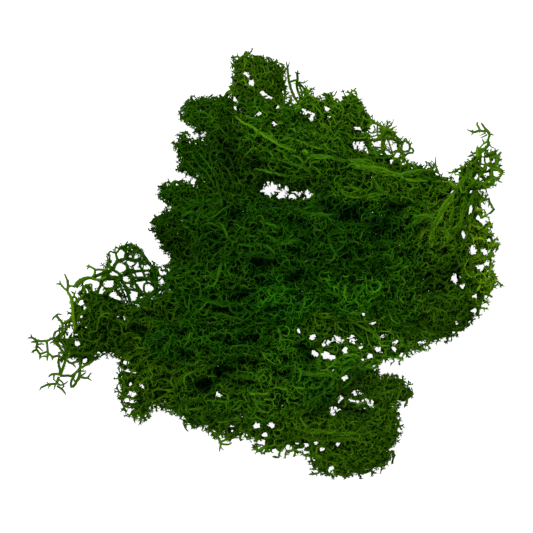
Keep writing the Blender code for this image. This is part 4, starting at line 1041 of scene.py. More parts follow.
SPRIGS = {
    "left_stem": [
        [(75, 330, 4), (73, 318, 4), (72, 305, 4), (71, 299, 4), (69, 295, 2.5),
         (67, 290.5, 2.5)],
        [(67, 290.5, 2.5), (64, 288.5, 1.5), (62, 286, 1.5), (60, 284, 1.5), (56.5, 284, 1)],
        [(60, 284, 1.5), (59.5, 280.5, 0.8)],
        [(67, 290.5, 2.5), (67.5, 287, 2.5), (67.3, 283, 2.5), (66.5, 280, 1.5),
         (65.5, 277, 1.3), (64.3, 274.5, 1)],
        [(67.3, 283, 1.5), (68.3, 280.5, 1)],
        [(67.5, 287, 2), (70, 285.8, 2.5)],
        [(72, 303, 3), (76, 301.5, 2.5), (83, 295, 2.5), (84.5, 291, 2), (84, 287, 2),
         (84.5, 285.3, 2)],
        [(84.5, 285, 1.5), (88, 284.3, 1.3), (91.3, 284, 1.3), (91.5, 287, 1.3),
         (91.8, 290.5, 1.3)],
        [(72, 299, 2), (72.7, 296.8, 1)],
    ],
    "curled_stem": [
        [(91, 278, 3), (86, 278.5, 4.4), (82, 280.5, 5.6), (78, 283.5, 6.2), (75, 287, 5.4)],
        [(75, 287, 3), (72, 286.2, 1.5), (70, 285.8, 1.2)],
        [(91, 278, 2.6), (93.5, 275, 2.5), (94.5, 272, 2.2), (94.5, 269.5, 2)],
        [(94.5, 269.5, 2), (90.5, 267, 1.6), (88.5, 266.6, 2), (86, 266, 0.8)],
        [(88.5, 266.6, 1.5), (88.5, 264.5, 0.8)],
        [(88.5, 266.6, 1.5), (87, 269, 0.8)],
        [(94.5, 269.5, 2), (100, 269.5, 2), (105, 269.7, 2), (107, 268, 2)],
        [(91, 278, 2.6), (96, 279.5, 2.6), (101, 279, 2.4), (106, 277, 2)],
    ],
    "hooked_twig": [
        [(72, 318, 2.2), (69.5, 319.5, 2.2), (66, 321.8, 2.4), (62.5, 324, 2.6),
         (60.5, 321, 2.2), (58, 318.5, 2.2), (55.5, 315.5, 2.2)],
        [(55.5, 315.5, 1.8), (58, 314, 1.2), (60.5, 314.5, 1)],
        [(55.5, 316, 1.8), (53.3, 318, 1.3), (52, 320, 1)],
        [(62.5, 324, 2.5), (62, 327, 2.5), (62, 331, 3.5), (61.5, 335, 3.5), (60, 339, 2.5)],
        [(62.5, 328.5, 1.8), (66, 328, 1.8), (68, 325.5, 1.4), (70, 323, 1)],
        [(60.5, 330, 1.6), (56, 331.5, 1.6), (54, 333.5, 1.6), (53.5, 337, 1.6),
         (52, 339, 1.6)],
    ],
    "left_sprig": [
        [(58, 340, 2.2), (53, 338.5, 2.2), (48, 340.5, 2.2), (43, 341.2, 2.2),
         (38, 341.2, 2.2), (35, 340, 2), (32.5, 338.5, 2), (30.5, 337.7, 1.6),
         (27.5, 338.3, 0.8)],
        [(31.5, 338, 1.4), (30.5, 335, 0.8)],
        [(36, 341.5, 3), (36.8, 345, 3), (36, 348, 2.2), (35.8, 350, 2), (33.5, 351, 2),
         (31.2, 352.8, 1)],
        [(36, 342, 2), (33, 342, 1.8), (31, 342.3, 1)],
        [(36.5, 350, 2), (38, 352, 2), (39.5, 354, 2.2), (40, 356, 1.8), (39.3, 359, 1)],
        [(39.5, 354, 1.8), (42, 353.3, 1.6), (45, 352.3, 1.6), (47, 351.5, 1.4)],
        [(46.5, 341, 2.5), (46.8, 346, 2), (47.3, 350, 2), (47.8, 354, 2.2), (47, 357, 1.8),
         (46.8, 360.5, 1)],
        [(47, 357, 1.4), (43.5, 356.5, 1.2), (41.5, 357, 0.8)],
        [(37, 344.5, 1.4), (41, 344, 1.2), (43, 344.3, 0.8)],
        [(36.8, 346, 1.4), (39.5, 348.5, 1.2), (42, 351, 0.8)],
        [(47.8, 353.5, 1.8), (50, 355, 1.8), (52, 357.3, 2), (52, 360, 1)],
        [(52, 357.3, 2), (55, 356.3, 2), (58.5, 356, 2), (60.5, 357.5, 2), (63, 356.5, 2)],
        [(58, 336, 1.8), (56, 339, 1.8), (54, 341, 1.8), (57, 344, 2), (59.5, 347.5, 2),
         (62, 352, 2), (63, 354, 2)],
        [(54, 341.5, 1.6), (51.5, 342.5, 1.2), (50, 343.5, 0.8)],
        [(54, 341.5, 1.4), (53.5, 345, 0.8)],
        [(54.5, 342, 1.4), (55.5, 345.5, 0.8)],
    ],
    "lower_left_sprig": [
        [(66, 353, 4), (64.5, 357, 4.5), (62, 359.5, 3.5), (60, 360, 2.5), (58, 363, 2),
         (59, 367, 2.5), (59.5, 372, 3), (58.8, 376, 3.5)],
        [(65, 358, 3.5), (65, 361, 3), (63.5, 365, 3), (62, 370, 3), (60.5, 374, 3.5),
         (59, 376, 3.5)],
        [(58.5, 356.5, 1.2), (58, 360, 1.2), (57, 363.5, 1)],
        [(61, 357, 1.5), (62.5, 360, 1.5), (60.5, 363, 1.2)],
        [(59, 375, 2.5), (55, 374.3, 2.4), (51, 374.8, 2), (48.3, 376.8, 1.2)],
        [(59.5, 376, 2.4), (64, 375.8, 2.2), (70, 376, 2.2), (73, 377.5, 2.2)],
        [(58.5, 377, 3), (57.5, 380, 3), (56.5, 383, 3), (56, 385, 2.5)],
        [(56, 384.5, 2), (52, 384.5, 2), (48, 385, 2), (44, 386.5, 1.8), (40.5, 388, 1.4),
         (39.3, 390, 0.9)],
        [(48.5, 385, 1.2), (46.2, 382.6, 0.7)],
        [(50, 385, 1.2), (47.5, 388.7, 0.7)],
        [(54.8, 385, 1.4), (53.5, 389.5, 0.8)],
        [(56.5, 386, 2), (59, 387.8, 1.8), (61.5, 389.6, 1.6), (63.8, 392, 1.3),
         (64.7, 394.5, 0.8)],
        [(57.5, 384, 1.5), (60, 385.5, 1.3), (62.5, 385, 1.3), (63.5, 387, 1.2),
         (61.5, 388.5, 1)],
        [(62.5, 385, 1.2), (65, 383.5, 1), (67, 381.8, 0.7)],
        [(58.5, 380, 1.4), (62, 382.5, 1.2), (62.8, 385, 1)],
        [(54, 375, 1.4), (53.3, 379.5, 1.1), (55.5, 381.5, 0.8)],
        [(65.5, 360, 2), (69, 362.5, 2), (71.5, 363.5, 2), (75, 362, 2), (78.5, 361.5, 2)],
        [(71.5, 363.5, 1.5), (73.5, 365.5, 1.2), (75, 367.3, 0.8)],
        [(78, 354, 2.5), (79.5, 360, 2.5), (80, 365, 2.8), (79.5, 369, 3.5), (76.5, 372, 2.4),
         (73, 375, 2.2), (71, 376.5, 2.2)],
        [(80.5, 367.5, 2), (84, 366, 2), (88, 364, 2), (91, 362, 2), (93, 360, 2),
         (96, 357, 2), (99, 354, 2)],
        [(90, 362, 1.4), (89.3, 359, 1.2), (89.5, 357, 1)],
        [(79.5, 370, 3), (79.3, 374, 3.5), (78.5, 378, 3.8), (76, 382, 3), (74.5, 385, 3),
         (72, 387.8, 2.4)],
        [(79, 377, 2.4), (83, 378, 2), (87, 378, 1.8), (88.5, 376, 1.2), (90.3, 373.5, 0.8)],
        [(87, 378, 1.4), (89, 379.3, 1), (90.6, 380.5, 0.7)],
        [(80, 376.5, 1.4), (83, 374.5, 1.2), (85, 373, 0.9)],
        [(80, 371, 1.4), (83, 371.3, 1.1), (85.5, 371.3, 0.7)],
        [(73.5, 377, 2.2), (71.5, 380, 2.2), (70.5, 384, 2), (71.5, 388, 2)],
        [(79, 369, 2), (75, 374, 1.6), (73, 379, 1.4), (75, 382, 1.4)],
    ],
    "upper_right_twig": [
        [(479, 156, 4), (480, 153, 4), (484, 149.5, 3.5), (487.5, 146, 3.5),
         (488.8, 143, 3.5), (488.3, 140.5, 2), (489, 137, 1.8), (489.6, 135, 2),
         (488.5, 132, 3.5), (486, 129.5, 3), (484.5, 127.5, 1.8), (483, 125, 1.7),
         (481.5, 123, 1.2)],
        [(489.3, 134.5, 2), (492, 134, 1.2), (493.7, 135, 0.8)],
        [(486.5, 131, 2.4), (483, 131, 2.2), (480, 130.8, 2.2), (476.5, 131.5, 2.2),
         (474, 132.2, 2), (468, 129.8, 0.7)],
        [(474, 132, 1.8), (472, 134.5, 0.9)],
        [(474, 132, 1.6), (472.3, 130, 0.8)],
        [(480, 130.5, 2), (479.3, 128, 1.8), (477, 124.5, 1.8), (477.5, 122, 1)],
        [(486, 133, 1.2), (483, 134.3, 0.9), (480.3, 135.2, 0.6)],
        [(487.5, 134.5, 1.2), (483, 137, 0.9), (481.3, 137.5, 0.6)],
        [(488, 141.5, 2), (485, 143, 1.6), (483.8, 141.5, 1.2), (482.8, 139, 0.8)],
        [(485, 143, 1.4), (482.5, 145, 1.2), (480.8, 147, 1.1), (480, 149.5, 1)],
        [(489, 143.5, 1.4), (491.5, 146.5, 0.9), (494.5, 148, 0.6)],
        [(478, 156, 4), (477.3, 153, 4), (477.5, 150, 3.5), (477.8, 146.5, 2.2)],
        [(485, 152.5, 2.4), (487, 152.5, 2.2), (490, 153.5, 2), (493, 152.5, 2),
         (495.5, 150.5, 1.2)],
        [(490, 158, 2.6), (493, 157, 2.6), (497, 156, 2.4), (499.5, 154, 2.2),
         (501.3, 151.5, 1.4)],
        [(497, 156, 2), (498, 160, 2), (497, 163, 2), (496.5, 166, 2), (499.5, 168, 1.8),
         (502.8, 170, 0.8)],
        [(493, 169, 1.8), (497, 168.6, 1.8), (500, 171, 2), (501.5, 173.5, 2),
         (500.5, 176, 2), (497, 178, 1.8), (494.5, 177.5, 1.6)],
        [(501, 173, 1.4), (504.7, 172.3, 0.6)],
        [(497, 178.5, 1.4), (500, 181.5, 1.1), (502.3, 182.2, 0.6)],
        [(496, 179, 1.4), (494.3, 183.7, 0.8)],
        [(492, 179, 2), (490, 180, 2), (486, 182, 2), (483.5, 184.5, 2), (486, 187, 1.8),
         (489, 187.3, 1.4), (491.3, 185.8, 0.8)],
    ],
    "top_twigs": [
        [(300, 104, 2.2), (295, 98, 2.4), (291.5, 90, 2.4), (289, 82, 2.2), (288, 74, 1.8),
         (287.3, 67, 1.4), (286.3, 61.5, 0.7)],
        [(287.6, 68, 1.2), (289.3, 62, 0.6)],
        [(287.8, 70, 1.2), (284, 66.5, 0.6)],
        [(288.2, 76, 1.1), (290.8, 75, 0.6)],
        [(303, 103, 2), (300, 96, 2.2), (297.5, 90, 2), (296.5, 84, 2.2), (297.5, 79, 2.4),
         (297.3, 73, 2), (297.8, 70.5, 1)],
        [(297.3, 74, 1.6), (295.5, 72, 0.8)],
        [(297.3, 73.5, 1.6), (299.8, 72.8, 0.8)],
        [(296.8, 80, 2), (293.5, 80.5, 1.8), (290.5, 81.5, 1.6), (288.8, 82, 1.6)],
        [(297.5, 82, 2.2), (301.5, 85, 2), (304.5, 89, 2), (305, 94, 2)],
        [(299, 81.5, 1.2), (303.5, 82.6, 1), (307.2, 80.4, 0.6)],
        [(301, 99, 1.6), (302, 92, 1.4), (299.5, 86, 1.4), (297.5, 83, 1.6)],
    ],
    "left_crown": [
        [(107, 268, 2), (108, 264, 1.8), (108.5, 260, 1.8), (109, 256, 1.6), (108, 253, 1.5),
         (109.5, 251.3, 1.5), (111.5, 251.5, 1.5)],
        [(108.5, 255, 1.2), (106.5, 254.5, 0.6)],
        [(108.4, 261, 1.2), (104.5, 260.8, 0.6)],
        [(111.5, 252, 1.5), (113.5, 252.5, 1.5), (115.5, 253, 1.6)],
        [(113.5, 252.5, 1.4), (113.5, 250, 1.2), (112.5, 249.3, 0.7)],
        [(115.5, 253, 2), (118, 250.5, 1.8), (119.3, 247.5, 1.8), (121, 246.5, 2),
         (124, 246, 2.2), (126, 243.5, 1.6), (127.3, 241.3, 0.9)],
        [(119.3, 247.5, 1.2), (118.5, 245, 0.7)],
        [(115.5, 253, 2), (116.3, 257, 2.2), (117.5, 260.5, 2.8), (117, 262.5, 3)],
        [(123, 247.5, 2.4), (125, 251, 2.5), (126, 255, 2.6), (125.5, 258, 2.8),
         (122, 260.5, 3), (118, 261.5, 3.2), (115, 264, 3), (113.5, 267, 2.8),
         (113, 270, 2.8)],
        [(126, 250, 1.8), (128, 248.5, 1.6), (131, 247.5, 1.6), (133, 249, 1.6),
         (134, 250.5, 1.8), (136, 250.5, 1.6), (139, 250, 1.4), (141, 249, 0.9)],
        [(131, 247.5, 1.3), (131.5, 243.5, 0.6)],
        [(134, 250, 1.3), (135, 246.5, 0.6)],
        [(128, 254.5, 2.2), (131, 252.8, 2), (134, 252.5, 2), (136, 250.7, 1.8)],
        [(134.5, 252, 2), (133, 256, 2), (131.5, 259, 2), (129, 260, 2)],
        [(126, 256, 3), (129, 259, 3), (133, 260.5, 2.8), (137, 259.5, 2.4),
         (139, 261, 2.2), (141, 263, 2), (144, 264.5, 1.8), (148, 263, 1.6),
         (151, 263, 1.4)],
        [(143, 264, 1.4), (143.5, 258.5, 0.6)],
        [(146, 263.8, 1.3), (146.3, 258.3, 0.6)],
        [(138, 260, 1.4), (139.5, 256.5, 0.6)],
        [(150.5, 265, 1.8), (151, 268, 1.8), (155, 268.3, 1.8), (157.5, 268.5, 1.6),
         (160, 266.3, 1.4)],
        [(157, 269, 1.8), (158.5, 274, 1.8), (159.5, 277, 1.8)],
        [(160, 270, 1.8), (164, 270, 1.8), (168, 270.5, 1.8)],
        [(128, 272, 3), (132, 271.5, 2.8), (137, 271, 2.6), (142, 270.5, 2.4),
         (146, 270.5, 2.2), (151, 270.5, 2), (155, 272, 2), (157, 274, 1.8)],
        [(142, 271, 2.2), (144, 275, 2), (145.5, 279, 2), (147, 282.5, 2), (150.5, 283.5, 2),
         (153, 286, 2), (155, 288, 2)],
        [(147, 283, 2), (144, 284.5, 2), (143.5, 287, 2), (144, 291, 2), (145, 294, 2)],
        [(136, 284, 2), (138.5, 288, 2), (142, 292.5, 2)],
        [(113, 270, 2.6), (116, 271.5, 2.4), (119, 274, 2.4), (122, 275, 2.4),
         (125, 273, 2.6), (127, 270.5, 2.8)],
        [(124, 262, 3), (127, 266, 3), (128, 271, 3), (131, 277, 3), (131.5, 283, 3),
         (131, 288, 3)],
        [(139, 262, 2.2), (140, 266, 2.2), (142, 270, 2.2)],
        [(93, 277, 3), (100, 274, 3), (108, 270, 3)],
        [(108, 270, 2.6), (103, 280, 2.6), (98, 290, 2.6), (97, 294, 2.6)],
        [(104, 279, 2.2), (109, 279.5, 2), (115, 279, 2), (119, 276, 2.4)],
        [(103, 288, 2.4), (108, 289, 2.4), (113, 288.5, 2.4), (118, 292, 2.6),
         (122, 297, 3)],
        [(114, 279, 2.2), (115, 284, 2.2), (114, 289, 2.4)],
        [(108, 297, 2.6), (113, 301, 2.8), (119, 304, 3)],
        [(118, 276, 2.4), (122, 282, 2.6), (127, 289, 2.8), (130, 294, 3)],
        [(121, 280, 2), (125, 282.5, 2), (130, 283, 2.2)],
        [(127, 289, 2.6), (128, 295, 2.6), (130, 301, 3)],
        [(128, 289, 2.2), (133, 290, 2.2), (138, 291, 2.4), (139, 296, 2.4),
         (137, 301, 2.6)],
        [(138, 291, 2.2), (141, 293, 2.2), (145, 294, 2.4), (150, 293.5, 2.4),
         (154, 291, 2.4)],
        [(134, 281, 2.2), (138, 280.5, 2.2), (142, 280, 2.2), (145, 279, 2.2)],
        [(135, 282, 2), (136, 287, 2), (138, 291, 2.2)],
        [(158, 274, 1.8), (163, 277, 1.8), (167, 275, 1.8)],
        [(135, 302, 3), (145, 298, 3), (155, 293, 3), (163, 286, 2.6)],
        [(140, 306, 2.6), (150, 302, 2.6), (160, 296, 2.6)],
        [(106, 301, 2.6), (118, 304, 2.8), (126, 306, 2.8), (135, 305, 2.8)],
    ],
    "upper_right_arm": [
        [(438, 172, 3), (436, 166, 2.2), (435.5, 160, 1.4), (436, 157, 0.8)],
        [(436, 166, 1.8), (432, 161, 0.9)],
        [(424, 169, 2.2), (427, 164, 1.6), (426.5, 161.5, 0.9)],
    ],
    "left_body": [
        [(75, 330, 3), (78, 334, 2.4), (81, 340, 2.4), (84, 347, 2.6)],
        [(73, 318, 2.2), (77, 319, 1.8), (82, 318.5, 1.8), (88, 320, 2)],
        [(72, 310, 2), (77, 308, 1.8), (81, 306, 1.6), (86, 304, 1.8), (90, 304, 2)],
        [(77, 308, 1.6), (78, 313, 1.6), (77, 319, 1.6), (79, 324, 1.6), (83, 325, 1.8),
         (89, 327, 2)],
        [(82, 318.5, 1.6), (84, 313, 1.6), (85, 311, 1.6), (89, 311, 1.8)],
        [(75, 326, 2), (71, 325, 1.8), (67, 328, 1.8), (64, 333, 2), (60, 338, 2)],
        [(71, 325, 1.6), (73, 330, 1.6), (74, 334, 1.8), (72, 340, 1.8), (69, 345, 2)],
        [(64, 333, 1.6), (65, 340, 1.6), (69, 341, 1.6), (74, 340, 1.8), (80, 340, 2)],
        [(60, 339, 1.8), (64, 344, 1.8), (66, 350, 2), (70, 354, 2.2)],
        [(69, 341, 1.6), (68, 347, 1.8), (70, 354, 2), (66, 358, 2.4)],
        [(74, 340, 1.8), (74, 346, 1.8), (77, 349, 2), (83, 350, 2.4)],
        [(70, 354, 2), (76, 353, 2), (82, 354, 2.4), (88, 355, 2.6)],
        [(58, 344, 1.6), (60, 346, 1.4), (64, 346, 1.6), (68, 347, 1.8)],
        [(78, 334, 1.8), (83, 334, 1.8), (88, 336, 2)],
        [(79, 300, 2), (84, 299, 2), (88, 301, 2.2), (92, 304, 2.4)],
        [(79, 300, 1.8), (77, 304, 1.6), (74, 306, 1.8)],
        [(86, 286, 2), (90, 294, 2.2), (92, 300, 2.4)],
        [(88, 284, 2), (92, 291, 2), (97, 294, 2.2), (103, 295, 2.4)],
        [(88, 355, 2.4), (94, 352, 2.2), (98, 356, 2)],
        [(94, 348, 2.2), (95, 352, 2), (92, 357, 2)],
    ],
    "rosette": [
        [(386, 134, 5), (384, 140, 5), (383.5, 147, 4.5), (384, 152, 4), (388, 158, 4),
         (390, 166, 4)],
        [(366, 125, 2.4), (366.5, 135, 3), (368, 142, 4.5), (369.5, 148, 4.5), (372, 153, 4.5),
         (378, 160, 4.5), (384, 165, 4)],
        [(369, 146.5, 2.2), (374, 146.7, 2), (379, 147, 2), (383, 147, 2.2)],
        [(368, 138.5, 2.5), (374, 140, 2.5), (380, 139.5, 2.5), (384, 139, 2.5)],
        [(388, 139, 2), (390, 144, 1.8), (392, 150, 1.8), (393, 154, 1.8), (391, 158, 2)],
        [(391, 133, 3), (394, 137, 3), (397, 141, 3), (399, 145, 3), (401, 149, 3)],
        [(393, 132, 2.2), (398, 137, 2), (402, 141, 2), (405, 141, 2)],
        [(401, 149, 2.6), (398, 150, 2.4), (395, 154, 2.4), (393, 158, 2.4)],
        [(401, 149, 3), (403, 153, 3.6), (404, 157, 4), (404, 163, 4)],
        [(405, 141, 2), (402.5, 145, 2), (402, 149, 2.2)],
        [(405, 140, 2.2), (409, 142, 2.4), (410.5, 146, 2.6), (409.5, 150, 2.6),
         (405, 151.5, 2.4), (402, 150, 2.4)],
        [(410, 147, 2), (413, 148.5, 2.2), (414.3, 150.5, 2.4), (413, 152.5, 2.4),
         (409, 153, 2.4), (405, 155.5, 2.4)],
        [(404.5, 141, 1.4), (404.8, 138.5, 0.6)],
        [(409, 142.5, 1.6), (410.5, 138.7, 0.6)],
        [(387.5, 127, 1.6), (387.2, 123, 1.4), (387.7, 119.7, 0.8)],
        [(391, 126, 1.6), (393, 122, 1.3), (394, 119.3, 0.7)],
        [(392, 128, 1.6), (396.5, 126, 0.7)],
        [(392, 131, 1.6), (397, 132, 0.7)],
        [(384, 125, 1.6), (382.5, 121, 0.8)],
        [(366, 122, 3), (372, 122, 3), (378, 123.5, 3), (384, 127, 3)],
        [(366, 126, 1.8), (369, 131, 1.8), (373, 132.5, 1.6), (378, 131, 1.8), (383, 131, 2)],
        [(374, 125, 1.6), (375.5, 129, 1.6), (373, 132.5, 1.6)],
        [(378, 123, 2), (377.5, 128, 2), (378, 134, 2), (380, 139, 2.2)],
        [(368, 136, 1.6), (373, 136, 1.6), (378, 134.5, 1.8), (383, 135, 2)],
        [(372, 153, 2.2), (378, 152, 2), (381, 150.5, 2), (384, 150, 2)],
        [(378, 152, 2.2), (380, 156, 2.2), (384, 158, 2.4), (389, 158, 2.4)],
        [(389, 158, 2.5), (394, 158, 2.5), (399, 158, 2.5), (404, 158, 2.8)],
        [(389, 158, 2.2), (389, 165, 2.4)],
        [(394.5, 158, 2), (394.5, 165, 2.2)],
        [(400, 158, 2), (401, 165, 2.2)],
    ] + [rosette_ray(turn) for turn in np.arange(0.0, 2.0 * math.pi, RAY_TURN)],
    "upper_right_tuft": [
        [(479, 152, 3), (481, 158, 3), (480, 166, 3), (476, 174, 3), (472, 180, 3)],
        [(485, 152, 2), (486, 156, 2), (485, 160, 2), (487, 164, 2), (490, 166, 2),
         (493, 170, 2.2), (493, 176, 2.2), (490, 181, 2)],
        [(480, 163, 2), (484, 164, 2), (487, 164, 2)],
        [(487, 164, 2), (487, 169, 1.6), (484, 172, 1.8), (481, 175, 2)],
        [(486, 156, 1.8), (490, 155, 1.6), (494, 154, 1.6), (497, 156, 1.6)],
        [(490, 156, 1.6), (491, 161, 1.6), (490, 166, 1.8)],
        [(494, 154, 1.4), (496, 160, 1.8), (496, 165, 1.8), (493, 169, 2)],
        [(493, 176, 2), (488, 178, 2), (483, 180, 2), (479, 184, 2.2)],
    ],
    "bottom_twig": [
        [(217, 436, 2.6), (219, 440, 2.4), (220.5, 443.5, 2.4), (220.2, 447.5, 1.6),
         (219.4, 451.5, 0.9)],
        [(220.5, 444, 1.8), (224, 444.8, 1.6), (228, 445, 1.4), (231.5, 443.2, 0.8)],
        [(220.3, 447, 1.2), (222.6, 450, 0.7)],
        [(214, 433, 2.2), (217, 436, 2.4), (221, 434, 2.2), (225, 435.5, 2)],
        [(208, 428, 2.4), (214, 434, 2.4), (220, 440, 2.4)],
        [(230, 434, 2), (226, 440, 1.8), (220, 443, 1.8)],
    ],
}


def sprig_height(name):
    """The middle height of a sprig's solid, in mm."""
    heights = [vertex.co.z / MM for vertex in frame["nodes"][name].data.vertices]
    return (min(heights) + max(heights)) / 2.0


print("twigs laid by hand:", sum(len(lines) for lines in SPRIGS.values()))

# %% [markdown]
# A skeleton is cut to stems, each one line that runs on through its forks. A side twig is
# a line of its own that starts inside its parent, so that no fork shows a seam. Forks
# are a little webbed, ends taper, and only twigs near the surface end in a crown.

# %% Cut the skeletons to stems
START_WIDTH = 1.5
END_WIDTH = 0.55
FORK_WEB = 1.2
STOUT = 0.34
DEEP = 8.0
DEEPEST_CROWN = 3.2
# Old wood and closing wood get painted shade: their depth for colour is counted this many mm
# deeper, so the material paints them darker.
OLD_SHADE = 1.5
CLOSING_SHADE = 2.5
BARE_TINT = 0.5
STEM_LIGHT = (0.8, 1.25)


def into_stems(skeleton):
    """The stems of a skeleton as lists of joints, each from its parent's joint outward."""
    parent = skeleton["parent"]
    radius = skeleton["radius"]
    heir = np.full(len(parent), NO_PARENT)
    rising = np.argsort(radius, kind="stable")
    rising = rising[parent[rising] >= 0]
    heir[parent[rising]] = rising
    stems = []
    for joint in range(len(parent)):
        if parent[joint] >= 0 and heir[parent[joint]] == joint:
            continue
        stem = [parent[joint]] if parent[joint] >= 0 else []
        step = joint
        while step >= 0:
            stem.append(step)
            step = heir[step]
        if len(stem) > 1:
            stems.append(stem)
    return stems


def line_arrays(lines):
    """Joins single lines to one set of arrays, with links between a line's points."""
    arrays = {key: np.concatenate([line[key] for line in lines]) for key in lines[0]}
    links = []
    first = 0
    for line in lines:
        last = first + len(line["place"]) - 1
        links.append(np.column_stack([np.arange(first, last), np.arange(first + 1, last + 1)]))
        first = last + 1
    arrays["links"] = np.concatenate(links)
    return arrays


def one_line(place, thick, depth, stout, crown, shine, chance):
    """A line's points and attributes. A crown above 0 sits on its last point."""
    count = len(place)
    is_tip = np.zeros(count, dtype=bool)
    is_tip[-1] = crown > 0.0
    return {"place": place, "thick": thick, "depth": depth, "tip": is_tip,
            "tint": np.full(count, chance.random()), "stout": np.full(count, stout),
            "shine": shine * chance.uniform(*STEM_LIGHT),
            "crown": np.full(count, crown)}


print("old wood is shaded as if", OLD_SHADE, "mm deeper, and closing wood", CLOSING_SHADE)

# %% [markdown]
# Short side twigs, here called spurs, stand along the real ones and make them look
# prickly. Nearly half of the joints near the surface get one.

# %% Stems with spurs along them
SPUR_SHARE = 0.45
SPUR_DEEPEST = 3.0
SPUR_RADII = (0.12, 0.05)
SPRIG_SPUR_SHARE = 0.2
SPRIG_SPUR_RADII = (0.13, 0.09, 0.04)
SPRIG_DEPTH = 0.5
SPRIG_GIRTH = 0.6
FINE_POINT = 1.6
CROWN_GIRTH = 1.3
FINEST = 0.06


def side_spur(start, along, depth, crown, shine, chance):
    """A short side twig: it leaves its stem at an angle and ends in a point."""
    angle = chance.choice([-1.0, 1.0]) * chance.uniform(0.6, 1.2)
    lean = turned(unit(along[None, :2])[0], angle)
    reach = np.append(lean, chance.uniform(-0.2, 0.6)) * chance.uniform(0.5, 1.0)
    row, column = in_cells(start + reach)
    if not ground[row, column]:
        return None
    thick = chance.uniform(0.8, 1.2) * np.array(SPUR_RADII)
    depths = np.array([depth, depth - reach[2]])
    return one_line(np.array([start, start + reach]), thick, depths, False, crown,
                    np.full(2, shine), chance)


def tuft_lines(skeleton, spur_crown, chance):
    """The stems of a grown tuft, and the short side twigs along them."""
    skeleton["radius"] = thickness(skeleton)
    place = skeleton["place"]
    radius = skeleton["radius"]
    row, column = in_cells(place)
    # Depth below the crest is what the material turns into painted shade, so twigs in the hollows
    # are painted darker.
    depth = np.nan_to_num(crest[row, column], nan=DEEP) - place[:, 2]
    # Painted shade: old and closing wood are counted deeper than they lie.
    depth[skeleton["least"] >= OLD_WOOD["least"]] += OLD_SHADE
    depth[skeleton["least"] >= BRIDGE_RADIUS] += CLOSING_SHADE - OLD_SHADE
    parent = skeleton["parent"]
    branches = np.bincount(parent[parent >= 0], minlength=len(parent))
    lines = []
    for stem in into_stems(skeleton):
        stem = np.array(stem)
        thick = radius[stem].copy()
        thick[0] = min(thick[0], START_WIDTH * thick[1])
        thick[-1] *= END_WIDTH
        crown = skeleton["crown"][stem[-1]] * chance.uniform(0.7, 1.3)
        if depth[stem[-1]] > DEEPEST_CROWN:
            crown = 0.0
        bare = skeleton["fixed"][stem].max() > 0.0
        low_wood = skeleton["least"][stem[-1]] >= BRIDGE_RADIUS
        stout = bare or (thick.max() > STOUT and not low_wood)
        thick[branches[stem] > 1] *= FORK_WEB
        line = one_line(place[stem], thick, depth[stem], stout, crown,
                        skeleton["shine"][stem], chance)
        if bare:
            line["tint"] *= BARE_TINT
        lines.append(line)
        if low_wood:
            continue
        for spot in np.flatnonzero(chance.random(len(stem) - 1) < SPUR_SHARE) + 1:
            joint = stem[spot]
            if depth[joint] > SPUR_DEEPEST:
                continue
            along = place[joint] - place[stem[spot - 1]]
            spur = side_spur(place[joint], along, depth[joint], spur_crown,
                             skeleton["shine"][joint], chance)
            if spur is not None:
                lines.append(spur)
    return lines


def sprig_lines(name, chance):
    """The twigs of a sprig given in SPRIGS, with short spurs along them."""
    height = sprig_height(name)
    lines = []
    for number, points in enumerate(SPRIGS[name]):
        plan = in_plan([point[:2] for point in points])
        thick = np.array([point[2] for point in points]) * PIXEL / 2.0
        if name in SPRIG_NODES:
            thick *= 1.0 + SPRIG_GIRTH * np.clip(FINE_POINT - thick / PIXEL, 0.0, 1.0)
        if name == "left_crown":
            thick *= CROWN_GIRTH
        thick = np.maximum(thick, FINEST)
        level = height + 0.12 * np.sin(1.7 * plan[:, 0]) + 0.02 * number
        line = through_points(np.column_stack([plan, level, thick]), 0.35)
        line[1:-1, :2] += chance.normal(0.0, 0.025, (len(line) - 2, 2))
        depth = np.full(len(line), SPRIG_DEPTH)
        crown = chance.uniform(0.45, 0.75) if points[-1][2] <= 1.2 else 0.0
        shine = np.ones(len(line))
        lines.append(one_line(line[:, :3], line[:, 3], depth, True, crown, shine, chance))
        for joint in range(3, len(line) - 2):
            if chance.random() > SPRIG_SPUR_SHARE:
                continue
            along = unit((line[joint + 1] - line[joint - 1])[None, :2])[0]
            lean = turned(along, chance.choice([-1.0, 1.0]) * chance.uniform(0.7, 1.2))
            start = line[joint, :3]
            tip = start + np.append(lean, 0.3) * (line[joint, 3] + chance.uniform(0.25, 0.6))
            spur = np.array([start, 0.5 * (start + tip), tip])
            lines.append(one_line(spur, np.array(SPRIG_SPUR_RADII), np.full(3, SPRIG_DEPTH),
                                  False, 0.0, np.ones(3), chance))
    return lines


print("spurs stand on", SPUR_SHARE, "of a tuft's joints and", SPRIG_SPUR_SHARE,
      "of an open sprig's")

# %% [markdown]
# Geometry Nodes turns the lines to tubes and sets a crown of points on every twig's end.
# Thin twigs need only three sides, and stout stems get five. The tree is built here, so
# that its inputs can be read by name. A kind of crown is its number of points and how
# far they lean out, in degrees.

# %% The tree of nodes that dresses a skeleton
def add_node(tree, kind, inputs=(), **settings):
    """Adds a node with its settings. inputs gives a socket, by name or number, a value
    or the socket that it is linked from."""
    item = tree.nodes.new(kind)
    for name, value in settings.items():
        setattr(item, name, value)
    for key, value in dict(inputs).items():
        if isinstance(value, bpy.types.NodeSocket):
            tree.links.new(value, item.inputs[key])
        else:
            item.inputs[key].default_value = value
    return item


def add_input(tree, name, kind, value=None):
    """Adds a named input to a node tree."""
    socket = tree.interface.new_socket(name, in_out="INPUT", socket_type=kind)
    if value is not None:
        socket.default_value = value
    return socket


CROWNS = [(2, 34.0), (3, 40.0), (3, 52.0), (4, 46.0)]
CROWN_LENGTH = 0.62
POINT_WIDTH = 0.24
THIN_SIDES = 3
STOUT_SIDES = 5


